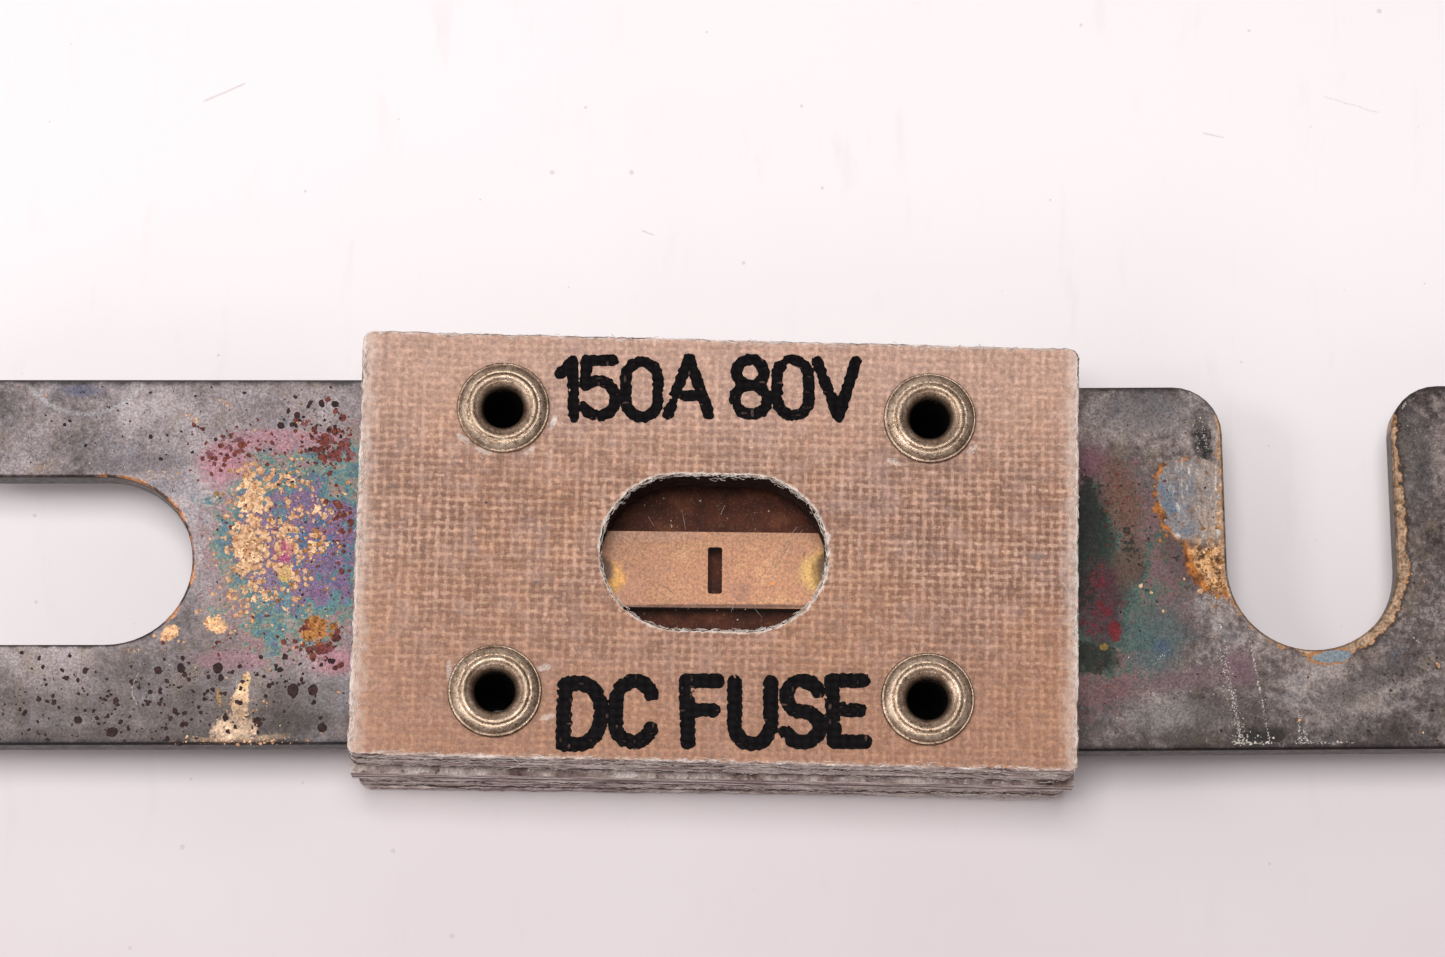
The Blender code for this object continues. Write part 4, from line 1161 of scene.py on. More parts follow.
def fixOrder(shape):  # an extrusion lists its faces in another order each run
    count = len(shape.verts)
    shape.verts.index_update()

    def rank(face):
        first, second, third = sorted(vertex.index for vertex in face.verts)[:3]
        return (first * count + second) * count + third

    shape.faces.sort(key=rank)


def buildInk(values):
    shape = bmesh.new()
    dice = random.Random(values["seed"])
    for words, height, stroke, start, length in values["lines"]:
        segments = layWords(words, height, start, length, dice)
        low = (start[0] - 1.0, start[1] - 1.0)
        high = (start[0] + length + 1.0, start[1] + height + 1.0)
        contourMesh(shape, *inkField(segments, values, stroke / 2, low, high))
    lifted = bmesh.ops.extrude_face_region(shape, geom=shape.faces[:])
    tops = [item for item in lifted["geom"] if isinstance(item, bmesh.types.BMVert)]
    bmesh.ops.translate(shape, verts=tops, vec=(0.0, 0.0, values["thickness"]))
    fixOrder(shape)
    return meshFrom(shape, "stampedInk", Matrix.Translation((0.0, 0.0, coverTop + values["lift"])))


def makeInkBlack(values):
    made, tree, shader, place = startMaterial("stampInk", 0.0, 0.6, 0.06)
    local = fromFrame(tree, place, (*topCover["centre"], 0.0), flatTurn(topCover["turn"]))
    cloth = clothOf(tree, local, values)
    crowns = step(tree, cloth["Lift"], 0.6, 0.95)
    worn = times(tree, crowns, step(tree, grain(tree, place, 2.2, 4.0, 4.0), 0.46, 0.62))
    feed(tree, shader["Base Color"], mixed(tree, worn, tint(6, 3, 5), tint(88, 70, 64)))
    feed(tree, shader["Roughness"], step(tree, cloth["Thread"], 0.0, 1.0, 0.5, 0.7))
    feed(tree, shader["Normal"], bumped(tree, cloth["Lift"], 0.5, 0.03))
    return made


inkMesh = buildInk(ink)
inkMesh.materials.append(makeInkBlack(weave))
addPiece("stampedInk", inkMesh)
print("ink stamped:", len(inkMesh.polygons), "faces")


# Frayed glass fibres along the cut edges

fringe = {
    "thickness": 0.030, "length": 0.36, "bend": 0.10, "tilt": 0.2, "sides": 4, "seed": 12, "lift": 0.004,
    "alongTop": 900, "atEachRimPoint": 2, "rimSpacing": 0.05, "inEachTuft": 7,
    "inTopWall": 520, "inBottomWall": 260,
}


def makeFibreTree():
    tree, given, result = startTree("fibreTree", {
        "Thickness": ("Float", 0.00004), "Length": ("Float", 0.0004), "Bend": ("Float", 0.0001),
        "Tilt": ("Float", 0.2), "Sides": ("Int", 4), "Seed": ("Int", 0), "Material": ("Material", None),
    })
    start = joined(tree, 0.0, 0.0, times(tree, given["Length"], -0.3))
    middle = joined(tree, given["Bend"], 0.0, times(tree, given["Length"], 0.35))
    end = joined(tree, 0.0, 0.0, given["Length"])
    path = geo(tree, "GeometryNodeCurveQuadraticBezier", {
        "Resolution": 5, "Start": start, "Middle": middle, "End": end,
    })
    half = times(tree, given["Thickness"], 0.5)
    section = geo(tree, "GeometryNodeCurvePrimitiveCircle", {"Resolution": given["Sides"], "Radius": half})
    thread = geo(tree, "GeometryNodeCurveToMesh", {
        "Curve": path, "Profile Curve": section, "Fill Caps": True,
    })
    lean = geo(tree, "GeometryNodeInputNamedAttribute", {"Name": "lean"}, data_type="FLOAT_VECTOR")
    size = geo(tree, "GeometryNodeInputNamedAttribute", {"Name": "size"}, data_type="FLOAT")
    facing = geo(tree, "FunctionNodeAlignRotationToVector", {"Vector": lean}, axis="Z")
    tiltBack = times(tree, given["Tilt"], -1.0)
    spin = geo(tree, "FunctionNodeRandomValue", {
        "Min": joined(tree, tiltBack, tiltBack, 0.0), "Max": joined(tree, given["Tilt"], given["Tilt"], 6.28),
        "Seed": given["Seed"],
    }, data_type="FLOAT_VECTOR")
    turned = geo(tree, "FunctionNodeRotateRotation", {
        "Rotation": facing, "Rotate By": spin,
    }, rotation_space="LOCAL")
    copies = geo(tree, "GeometryNodeInstanceOnPoints", {
        "Points": given["Geometry"], "Instance": thread, "Rotation": turned,
        "Scale": joined(tree, 1.0, 1.0, size),
    })
    endTree(tree, copies, given, result)
    return tree


def makeGlassFibre():
    made, tree, shader, place = startMaterial("glassFibre", 0.0, 0.6)
    shade = grain(tree, place, 3.0, 7.0, 3.0, 0.7)
    colour = mixed(tree, step(tree, shade, 0.35, 0.65), tint(176, 154, 138), tint(240, 234, 228))
    feed(tree, shader["Base Color"], colour)
    feed(tree, shader["Normal"], bumped(tree, grain(tree, place, 20.0, 3.0), 0.4, 0.01))
    return made


def fringePoints(values, dice):  # on the top cover's edges and window rim, and in both front walls
    points, sizes, leans = [], [], []

    def add(point, lean, size):
        points.append(tuple(coverPlace @ Vector(point)))
        leans.append(tuple(coverPlace.to_3x3() @ Vector(lean)))
        sizes.append(size)

    coverPlace = placeOf(topCover)
    onTop = coverTop + values["lift"]
    halfX, halfY = topCover["length"] / 2, topCover["width"] / 2
    for index in range(values["alongTop"]):  # lying along the top edges, just inside the outline
        side = dice.choice(("left", "right", "left", "right", "back", "front"))
        along = dice.uniform(-1, 1)
        if side in ("left", "right"):
            sign = 1 if side == "right" else -1
            spot = (sign * (halfX - abs(dice.gauss(0.0, 0.16)) - 0.16), along * (halfY - 0.5), onTop)
            lean = (dice.gauss(0, 0.25), dice.choice((-1, 1)), 0.0)
        else:
            sign = 1 if side == "back" else -1
            spot = (along * (halfX - 0.6), sign * (halfY - abs(dice.gauss(0.0, 0.07)) - 0.15), onTop)
            lean = (dice.choice((-1, 1)), dice.gauss(0, 0.25), 0.0)
        add(spot, lean, dice.uniform(0.4, 1.5))
    window = topCover["window"]
    outline = obroundOutline(window["centre"], window["length"], window["width"], values["rimSpacing"])
    normals = outward(outline)
    for point, normal in zip(outline, normals):
        for copy in range(values["atEachRimPoint"]):
            if dice.random() < (0.8 if point.x > 1.0 or point.y > 2.0 else 0.5):
                depth = 0.05 + dice.uniform(0.0, 0.9) * dice.random() ** 2
                tangent = Vector((-normal.y, normal.x)) * dice.choice((-1, 1))
                lean = tangent + (-normal) * dice.uniform(-0.15, 0.35)
                spot = point + normal * dice.uniform(-0.06, 0.12)
                height = onTop if dice.random() < 0.35 else coverTop - depth
                slant = (lean.x, lean.y, dice.uniform(-0.3, 0.1))
                add((spot.x, spot.y, height), slant, dice.uniform(0.3, 0.95))
    for tuft, shade, opacity in weave["tufts"]:
        x, y, turn = tuft[0], tuft[1], tuft[4]
        for index in range(values["inEachTuft"]):
            spot = coverPlace.inverted() @ Vector((dice.gauss(x, 0.2), dice.gauss(y, 0.14), onTop))
            angle = math.radians(turn) + dice.gauss(0, 0.5)
            add(spot, (math.cos(angle), math.sin(angle), 0.0), dice.uniform(0.4, 1.0))
    for index in range(values["inTopWall"]):  # threads in the front walls of both covers
        along = dice.uniform(-1, 1) * (halfX - 0.6)
        height = dice.uniform(coverBottom + 0.1, coverTop - 0.15)
        lean = (dice.choice((-1, 1)), dice.uniform(-0.04, 0.0), dice.gauss(0, 0.08))
        add((along, -halfY + 0.055, height), lean, dice.uniform(0.5, 1.7))
    for index in range(values["inBottomWall"]):
        along = dice.uniform(-1, 1) * (halfX - 0.6)
        height = dice.uniform(baseBottom + 0.1, baseTop - 0.15)
        lean = (dice.choice((-1, 1)), 0.0, dice.gauss(0, 0.08))
        add((along, -halfY + 0.02, height), lean, dice.uniform(0.5, 1.7))
    return points, sizes, leans


glassFibre = makeGlassFibre()
fringeSource = pointMesh("fringePoints", *fringePoints(fringe, random.Random(fringe["seed"])))
fringeMesh = grow("frayedFibres", fringeSource, makeFibreTree(), {
    "Thickness": fringe["thickness"] * mm, "Length": fringe["length"] * mm, "Bend": fringe["bend"] * mm,
    "Tilt": fringe["tilt"], "Sides": fringe["sides"], "Seed": fringe["seed"], "Material": glassFibre,
})
addPiece("frayedFibres", fringeMesh)
print("fibres grown:", len(fringeMesh.polygons), "faces")


# Corrosion spots on the blades: low scabs of dark tarnish, and a few of bright copper

spots = {
    "sides": 10, "thickness": 0.016, "seed": 21, "sunk": 0.004,
    "slotClear": 4.65, "edgeClear": 9.35, "leftSlotEnd": -26.0, "inView": ((-36.0, -18.35), (19.0, 40.0)),
    "clouds": {
        "darkPits": {
            "colours": ((28, 13, 15), (66, 36, 36)),
            "clouds": (
                # x, y, spread x, spread y, count, smallest, largest radius
                (-29.0, -7.6, 4.5, 1.5, 420, 0.018, 0.15), (-22.0, -6.3, 2.6, 1.2, 150, 0.02, 0.16),
                (-27.5, -6.0, 2.5, 0.8, 60, 0.02, 0.15), (-34.5, -7.0, 1.5, 1.6, 60, 0.025, 0.16),
                (-25.0, 7.6, 3.5, 1.0, 70, 0.02, 0.13), (-33.0, 7.5, 2.5, 1.2, 40, 0.02, 0.10),
                (-26.4, -0.5, 0.5, 3.5, 30, 0.02, 0.09), (-20.0, 7.6, 1.2, 0.9, 60, 0.03, 0.22),
                (28.0, -8.0, 6.0, 1.2, 110, 0.015, 0.08), (-31.0, 7.0, 4.0, 1.5, 120, 0.012, 0.06),
                (32.0, 0.0, 8.0, 8.0, 160, 0.012, 0.05), (22.0, 1.0, 2.0, 4.5, 150, 0.015, 0.09),
                (-21.3, 1.2, 2.0, 3.2, 420, 0.012, 0.075), (37.5, 0.0, 1.5, 5.5, 40, 0.02, 0.10),
            ),
            "placed": (
                (-32.52, -4.75, 0.15), (-26.89, -5.38, 0.26), (-25.02, -5.39, 0.30), (-25.25, -6.5, 0.14),
                (-28.05, -5.49, 0.20), (-29.34, -6.10, 0.20), (-33.31, -6.82, 0.15), (-28.42, -6.62, 0.15),
                (-27.92, -6.62, 0.15), (-27.58, -6.05, 0.15), (-30.13, -7.03, 0.15), (-32.02, -8.05, 0.20),
                (-31.06, -7.95, 0.15), (-30.29, -8.67, 0.30), (-22.94, -8.17, 0.25), (-19.71, -8.48, 0.28),
                (-21.20, -6.53, 0.33), (-20.19, -6.53, 0.33), (-21.88, -5.49, 0.16), (-29.4, -7.9, 0.13),
            ),
            "rows": (),
        },
        "rustSpots": {
            "colours": ((72, 26, 28), (136, 70, 54)),
            "clouds": (
                (-24.6, 6.1, 1.1, 0.8, 150, 0.02, 0.15), (-19.4, 6.4, 0.9, 0.8, 180, 0.02, 0.22),
                (-21.8, 5.8, 1.8, 0.7, 70, 0.03, 0.15), (-18.9, 2.0, 0.6, 2.8, 90, 0.03, 0.20),
                (-20.0, -4.2, 0.9, 0.5, 70, 0.04, 0.28), (-22.0, 1.0, 1.8, 2.8, 90, 0.02, 0.12),
                (-23.0, -4.2, 1.6, 0.7, 40, 0.02, 0.13), (20.0, -1.6, 0.8, 2.1, 110, 0.02, 0.11),
                (20.9, 3.2, 0.8, 1.8, 70, 0.02, 0.10),
            ),
            "placed": (),
            "rows": (),
        },
        "peachFlakes": {
            "colours": ((178, 120, 76), (238, 198, 158)),
            "clouds": (
                (-23.4, 3.6, 0.45, 0.9, 190, 0.02, 0.21), (-23.5, 1.0, 0.65, 0.9, 240, 0.02, 0.22),
                (-24.1, 1.6, 0.5, 1.6, 110, 0.02, 0.16), (-21.7, 4.4, 0.8, 0.5, 100, 0.02, 0.18),
                (-19.9, 2.9, 0.6, 0.6, 70, 0.02, 0.17), (-21.8, 1.8, 0.55, 1.1, 170, 0.02, 0.20),
                (-20.2, 1.0, 0.7, 0.5, 70, 0.02, 0.17), (-23.6, -1.5, 0.9, 0.9, 190, 0.02, 0.17),
                (-21.6, -0.6, 0.7, 0.8, 120, 0.02, 0.18), (-22.0, 1.2, 2.0, 3.0, 360, 0.015, 0.10),
                (-25.1, -3.0, 0.4, 0.4, 90, 0.02, 0.14), (-23.9, -7.9, 0.6, 0.8, 90, 0.015, 0.09),
                (-27.5, -3.6, 0.3, 0.25, 50, 0.02, 0.13),
                (-23.4, -9.15, 1.8, 0.14, 130, 0.015, 0.08), (-29.2, -4.5, 1.6, 0.06, 30, 0.02, 0.06),
                (-28.0, 4.6, 1.6, 0.25, 16, 0.03, 0.10), (25.6, 0.0, 0.4, 1.0, 30, 0.03, 0.16),
                (34.0, -2.6, 0.8, 1.0, 20, 0.02, 0.08), (30.0, -8.0, 5.0, 1.0, 8, 0.02, 0.06),
            ),
            "placed": (
                (37.06, -5.3, 0.2), (29.9, -8.15, 0.12), (24.2, -0.8, 0.09), (21.98, -1.15, 0.16),
                (22.5, -1.5, 0.1), (23.1, -2.5, 0.13), (-34.1, 8.9, 0.07), (-34.3, 5.0, 0.06),
                (-34.1, 5.2, 0.05),
            ),
            "rows": (
                (((-26.95, 7.95), (-26.3, 7.5)), 40, 0.05, 0.02, 0.07),
                (((-25.3, 8.7), (-24.6, 8.35)), 34, 0.06, 0.015, 0.05),
            ),
        },
        "goldFlakes": {
            "colours": ((124, 72, 30), (196, 136, 66)),
            "clouds": (
                (-20.1, -3.35, 0.45, 0.35, 60, 0.04, 0.26), (-22.3, 3.6, 1.4, 1.6, 70, 0.02, 0.14),
                (-20.3, 1.1, 0.5, 0.8, 40, 0.03, 0.16), (-21.5, -1.6, 0.9, 0.6, 40, 0.03, 0.14),
                (25.7, -0.4, 0.35, 0.9, 40, 0.03, 0.18), (23.2, 2.2, 0.3, 0.8, 16, 0.03, 0.12),
            ),
            "placed": (),
            "rows": (),
        },
        "paleSpecksAndGlints": {
            "colours": ((176, 168, 160), (222, 214, 204)),
            "clouds": (
                (-24.5, 8.2, 3.0, 0.5, 30, 0.015, 0.06), (-30.0, -4.9, 4.0, 0.2, 20, 0.015, 0.05),
                (-31.5, 5.2, 2.5, 0.2, 14, 0.02, 0.07), (24.0, -6.5, 4.0, 2.0, 60, 0.012, 0.04),
                (27.2, -9.1, 0.5, 0.2, 20, 0.02, 0.08), (37.4, -6.5, 1.2, 2.0, 30, 0.015, 0.06),
                (24.8, 7.2, 0.5, 0.9, 20, 0.012, 0.04), (36.2, 7.6, 0.5, 0.9, 16, 0.012, 0.04),
            ),
            "placed": (),
            "rows": (
                # points, count, spread, smallest, largest radius
                (((25.62, -1.38), (26.24, -4.51), (26.8, -9.35)), 237, 0.05, 0.010, 0.047),
                (((26.0, -4.5), (26.9, -9.3)), 322, 0.15, 0.008, 0.041),
                (((27.48, -3.99), (28.32, -9.3)), 266, 0.03, 0.010, 0.041),
                (((29.85, -7.7), (29.85, -9.3)), 98, 0.06, 0.008, 0.041),
                (((30.1, -8.6), (30.2, -9.3)), 56, 0.05, 0.008, 0.041),
                (((24.9, 7.6), (25.2, 5.9)), 84, 0.06, 0.008, 0.034),
                (((25.3, 7.8), (25.55, 6.0)), 84, 0.05, 0.008, 0.034),
                (((22.4, -5.4), (23.3, -4.5)), 47, 0.05, 0.008, 0.027),
                (((35.7, 8.1), (35.95, 8.55)), 33, 0.03, 0.008, 0.041),
                # these two rows along the front edge are painted glints, not specks
                (((26.4, -9.33), (28.5, -9.33)), 98, 0.03, 0.010, 0.068),
                (((29.6, -9.33), (32.6, -9.3)), 84, 0.03, 0.010, 0.054),
                (((-29.0, -5.6), (-29.3, -6.2), (-29.3, -6.8), (-29.05, -7.3)), 112, 0.015, 0.012, 0.034),
                (((-28.9, 6.1), (-28.8, 4.9)), 28, 0.06, 0.010, 0.041),
                (((-27.9, 8.2), (-27.3, 7.1)), 33, 0.07, 0.010, 0.041),
            ),
        },
    },
}


def makeSpotTree():
    tree, given, result = startTree("spotTree", {
        "Sides": ("Int", 10), "Thickness": ("Float", 0.00002), "Seed": ("Int", 0),
        "Material": ("Material", None),
    })
    base = geo(tree, "GeometryNodeMeshCircle", {
        "Vertices": given["Sides"], "Radius": 0.001,
    }, fill_type="NGON")
    raised = addNode(tree, "GeometryNodeExtrudeMesh", mode="FACES")
    feed(tree, raised.inputs["Mesh"], base)
    feed(tree, raised.inputs["Offset Scale"], 1.0)
    feed(tree, raised.inputs["Offset"], joined(tree, 0.0, 0.0, given["Thickness"]))
    crown = geo(tree, "GeometryNodeScaleElements", {
        "Geometry": raised.outputs["Mesh"], "Selection": raised.outputs["Top"], "Scale": 0.72,
    })
    size = geo(tree, "GeometryNodeInputNamedAttribute", {"Name": "size"}, data_type="FLOAT")
    spin = anyTurn(tree, given["Seed"])
    stretch = anyNumber(tree, 0.6, 1.25, given["Seed"])
    build = anyNumber(tree, 0.5, 1.6, 77)
    copies = geo(tree, "GeometryNodeInstanceOnPoints", {
        "Points": given["Geometry"], "Instance": crown, "Rotation": spin,
        "Scale": joined(tree, size, times(tree, size, stretch), build),
    })
    real = geo(tree, "GeometryNodeRealizeInstances", {"Geometry": copies})
    lumps = addNode(tree, "ShaderNodeTexNoise")
    feed(tree, lumps.inputs["Vector"], geo(tree, "GeometryNodeInputPosition", {}))
    lumps.inputs["Scale"].default_value = 7000.0
    away = vectors(tree, "SUBTRACT", lumps.outputs["Color"], (0.5, 0.5, 0.5))
    away = stretched(tree, away, (1.0, 1.0, 0.0))
    torn = geo(tree, "GeometryNodeSetPosition", {"Geometry": real, "Offset": scaled(tree, away, 0.00022)})
    endTree(tree, torn, given, result)
    return tree


def makeScab(name, dark, pale, foot):  # darker at the foot than on the crown: painted shade round each scab's foot, partly a dark rim
    made, tree, shader, place = startMaterial(name, 0.0, 0.6, 0.2)
    shade = grain(tree, place, 5.0, 3.0, 5.0, 0.75)
    height = timesPlus(tree, shade, 0.012, coordinate(tree, place, 2))
    crown = mixed(tree, step(tree, shade, 0.38, 0.62), tint(*dark), tint(*pale))
    # painted shade at each scab's foot
    rise = step(tree, height, foot + 0.006, foot + 0.016, 0.35, 1.0)
    feed(tree, shader["Base Color"], mixed(tree, rise, tint(*[value * 0.45 for value in dark]), crown))
    feed(tree, shader["Normal"], bumped(tree, grain(tree, place, 14.0, 8.0), 0.5, 0.02))
    return made


def onBlade(values, x, y):  # true where a spot has metal under it and can be seen
    clear = values["slotClear"]
    leftX, leftY = leftBlade["centre"][:2]
    rightX, rightY = rightBlade["centre"][:2]
    inLeftSlot = math.hypot(max(x - leftX, 0.0), y - leftY) < clear and x < values["leftSlotEnd"]
    inRightSlot = math.hypot(x - rightX, min(y - rightY, 0.0)) < clear
    seen = any(low < x < high for low, high in values["inView"])
    return seen and abs(y) < values["edgeClear"] and not inLeftSlot and not inRightSlot


def scatter(values, clouds, rows, dice):  # spots thrown round centres, and along rows of points
    points, sizes = [], []
    level = bladeTop - values["sunk"]
    for line, count, spread, smallest, largest in rows:
        for index in range(count):
            share = (len(line) - 1) * dice.random()
            start = Vector(line[int(share)])
            spot = start.lerp(Vector(line[int(share) + 1]), share % 1.0)
            points.append((spot.x + dice.gauss(0, spread), spot.y + dice.gauss(0, spread), level))
            sizes.append(smallest + (largest - smallest) * dice.random() ** 3)
    for x, y, spreadX, spreadY, count, smallest, largest in clouds:
        for index in range(count):
            spot = (dice.gauss(x, spreadX), dice.gauss(y, spreadY))
            if onBlade(values, *spot):
                points.append((*spot, level))
                sizes.append(smallest + (largest - smallest) * dice.random() ** 3)
    return points, sizes


def addSpots(values):
    tree = makeSpotTree()
    dice = random.Random(values["seed"])
    for name, cloud in values["clouds"].items():
        points, sizes = scatter(values, cloud["clouds"], cloud["rows"], dice)
        points += [(x, y, bladeTop - values["sunk"]) for x, y, size in cloud["placed"]]
        sizes += [size for x, y, size in cloud["placed"]]
        mesh = grow(name, pointMesh(name + "Points", points, sizes), tree, {
            "Sides": values["sides"], "Thickness": values["thickness"] * mm, "Seed": len(points),
            "Material": makeScab(name + "Finish", *cloud["colours"], bladeTop),
        })
        addPiece(name, mesh)
        print(name, len(mesh.polygons), "faces")


addSpots(spots)


# Window: clear mica over the link, with a dark fibre floor below it

def makeMica():
    made, tree, shader, place = startMaterial("clearMica", 0.0, 0.08, 0.08)
    stain = grain(tree, place, 0.5, 4.0, 3.0)
    feed(tree, shader["Base Color"], mixed(tree, stain, tint(196, 176, 160), tint(224, 212, 204)))
    smear = grain(tree, stretched(tree, place, (1.0, 3.0, 1.0)), 0.8, 9.0, 3.0)
    feed(tree, shader["Roughness"], step(tree, smear, 0.4, 0.7, 0.06, 0.22))
    shader["Alpha"].default_value = 0.006
    return made


def makeFibreFloor():
    made, tree, shader, place = startMaterial("darkFibre", 0.0, 0.6, 0.12)
    blotch = grain(tree, place, 0.9, 2.0, 4.0, 0.6)
    colour = ramp(tree, blotch, ((0.3, (50, 18, 12)), (0.55, (90, 42, 26)), (0.75, (128, 74, 46))))
    flecks = step(tree, grain(tree, place, 8.0, 9.0, 4.0, 0.8), 0.54, 0.66, 0.0, 0.8)
    colour = mixed(tree, flecks, colour, tint(128, 96, 72))
    feed(tree, shader["Base Color"], colour)
    feed(tree, shader["Normal"], bumped(tree, grain(tree, place, 6.0, 5.0), 0.4, 0.03))
    return made


def makeLinkCopper():
    made, tree, shader, place = startMaterial("linkCopper", 0.35, 0.42)
    broad = grain(tree, place, 0.7, 2.0, 4.0, 0.6)
    fine = grain(tree, place, 4.0, 6.0, 5.0, 0.8)
    mottle = timesPlus(tree, fine, 0.14, times(tree, broad, 0.86))
    colour = ramp(tree, mottle, ((0.34, (128, 84, 58)), (0.5, (166, 115, 82)), (0.66, (202, 152, 112))))
    # painted shadow: the link is darker and browner towards its left end, by the window's left edge
    side = step(tree, coordinate(tree, place, 0), -5.5, 5.5)
    colour = mixed(tree, side, mixed(tree, 0.45, colour, tint(132, 88, 64)), colour)
    dull = step(tree, coordinate(tree, place, 1), 0.3, 1.7, 0.0, 0.6)
    colour = mixed(tree, dull, colour, tint(144, 102, 76))
    colour = paintPatches(tree, place, colour, (
        ((-5.35, -0.75, 0.95, 0.8, 0, 0.7, 2.8, 0.3), (178, 126, 48), 0.9),
        ((-5.6, -0.35, 0.62, 0.7, 0, 0.35, 2.2, 0.3), (72, 38, 12), 0.95),
        ((5.75, -0.45, 1.15, 1.0, 0, 0.7, 2.6, 0.35), (184, 146, 76), 0.85),
        ((5.75, -0.5, 0.6, 0.95, 0, 0.35, 2.2, 0.3), (120, 82, 16), 0.95),
        ((6.0, -0.3, 0.55, 0.9, 0, 1.1, 5.0, 0.15), (70, 42, 14), 0.7),
        ((-3.4, 1.55, 2.6, 0.35, 0, 0.4, 1.6, 0.4), (158, 118, 96), 0.6),
        ((3.11, -1.0, 0.1, 0.1, 0, 0.3, 4.0, 0.2), (232, 132, 52), 0.95),
        ((0.0, -2.22, 6.5, 0.12, 0, 0.5, 3.5, 0.4), (74, 40, 26), 0.85),
    ), 1.0)
    dots = useGroup(tree, speckField, {"Vector": place, "Per mm": 3.0, "Size": 0.35, "Share": 0.25})
    colour = mixed(tree, times(tree, dots["Mask"], 0.5), colour, tint(176, 116, 84))
    marks = ((-4.9, 1.4, -1.2, 1.35, 0.05, 0.52, (150, 118, 100)),
             (-2.6, -1.0, -2.0, -1.5, 0.04, 0.4, (120, 84, 64)),
             (2.9, -1.2, 4.4, 1.5, 0.04, 0.42, (166, 126, 100)))
    colour = paintScratches(tree, place, colour, marks, 1.0)
    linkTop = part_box("fuse_link")[1].z / mm
    wall = step(tree, coordinate(tree, place, 2), linkTop - 0.06, linkTop - 0.02, 0.9, 0.0)
    colour = mixed(tree, wall, gritty(tree, place, colour, 3.0), tint(44, 26, 18))
    feed(tree, shader["Base Color"], colour)
    feed(tree, shader["Roughness"], step(tree, broad, 0.3, 0.7, 0.34, 0.5))
    feed(tree, shader["Normal"], bumped(tree, grain(tree, place, 1.5, 5.0, 4.0), 0.15, 0.015))
    return made


nodes["window_sheet"].material_slots[0].material = makeMica()
nodes["backing_sheet"].material_slots[0].material = makeFibreFloor()
nodes["fuse_link"].material_slots[0].material = makeLinkCopper()
print("window finished")


# Dust and hair scratches on the clear window sheet

dust = {
    "count": 130, "smallest": 0.012, "largest": 0.045, "thickness": 0.01, "sides": 8, "seed": 9,
    "sunk": 0.002, "across": (-5.2, 5.2), "upwards": (-3.7, 3.4),
    "windowReach": 1.7, "windowMiddle": -0.2, "windowRadius": 3.7,
    "placed": (
        (-2.04, 2.17, 0.055), (-2.19, 2.54, 0.03), (-0.55, 3.25, 0.05), (-2.0, 1.9, 0.03), (2.2, 2.6, 0.03),
    ),
}


def addDust(values):
    dice = random.Random(values["seed"])
    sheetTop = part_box("window_sheet")[1].z / mm
    level = sheetTop - values["sunk"]
    points = [(x, y, level) for x, y, size in values["placed"]]
    sizes = [size for x, y, size in values["placed"]]
    while len(points) < values["count"]:
        x, y = dice.uniform(*values["across"]), dice.uniform(*values["upwards"])
        outwards = math.hypot(max(abs(x) - values["windowReach"], 0.0), y - values["windowMiddle"])
        if outwards < values["windowRadius"]:
            points.append((x, y, level))
            sizes.append(values["smallest"] + (values["largest"] - values["smallest"]) * dice.random() ** 3)
    mesh = grow("windowDust", pointMesh("dustPoints", points, sizes), makeSpotTree(), {
        "Sides": values["sides"], "Thickness": values["thickness"] * mm, "Seed": values["seed"],
        "Material": makeScab("dustFinish", (150, 120, 96), (232, 214, 190), sheetTop),
    })
    addPiece("windowDust", mesh)
    print("windowDust", len(mesh.polygons), "faces")


def addHairs(values):  # fine scratches as slender threads that lie on the sheet
    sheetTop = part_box("window_sheet")[1].z / mm
    points, leans, sizes = [], [], []
    for x0, y0, x1, y1 in values["lines"]:
        length = math.hypot(x1 - x0, y1 - y0)
        points.append(((x0 * 0.77 + x1 * 0.23), (y0 * 0.77 + y1 * 0.23), sheetTop + values["lift"]))
        leans.append(((x1 - x0) / length, (y1 - y0) / length, 0.0))
        sizes.append(length / 1.3)
    mesh = grow("windowHairs", pointMesh("hairPoints", points, sizes, leans), makeFibreTree(), {
        "Thickness": values["thickness"] * mm, "Length": 1.0 * mm, "Bend": values["bend"] * mm,
        "Tilt": 0.0, "Sides": values["sides"], "Seed": values["seed"], "Material": glassFibre,
    })
    addPiece("windowHairs", mesh)


hairs = {
    "thickness": 0.016, "bend": 0.03, "sides": 3, "seed": 2, "lift": 0.004,
    "lines": (
        # from x, y to x, y
        (4.4, 1.85, 2.9, -0.14), (4.04, 1.17, 3.1, -0.4), (4.7, 1.7, 3.6, 0.5), (-1.48, 2.75, -1.3, 1.7),
        (0.73, 3.0, 0.5, 2.5), (1.3, -1.8, 1.0, -2.6), (2.2, -2.4, 2.6, -2.9), (-3.2, 2.4, -2.9, 1.9),
    ),
}
addDust(dust)
addHairs(hairs)


# Eyelets: one section turned round, set at the four corners

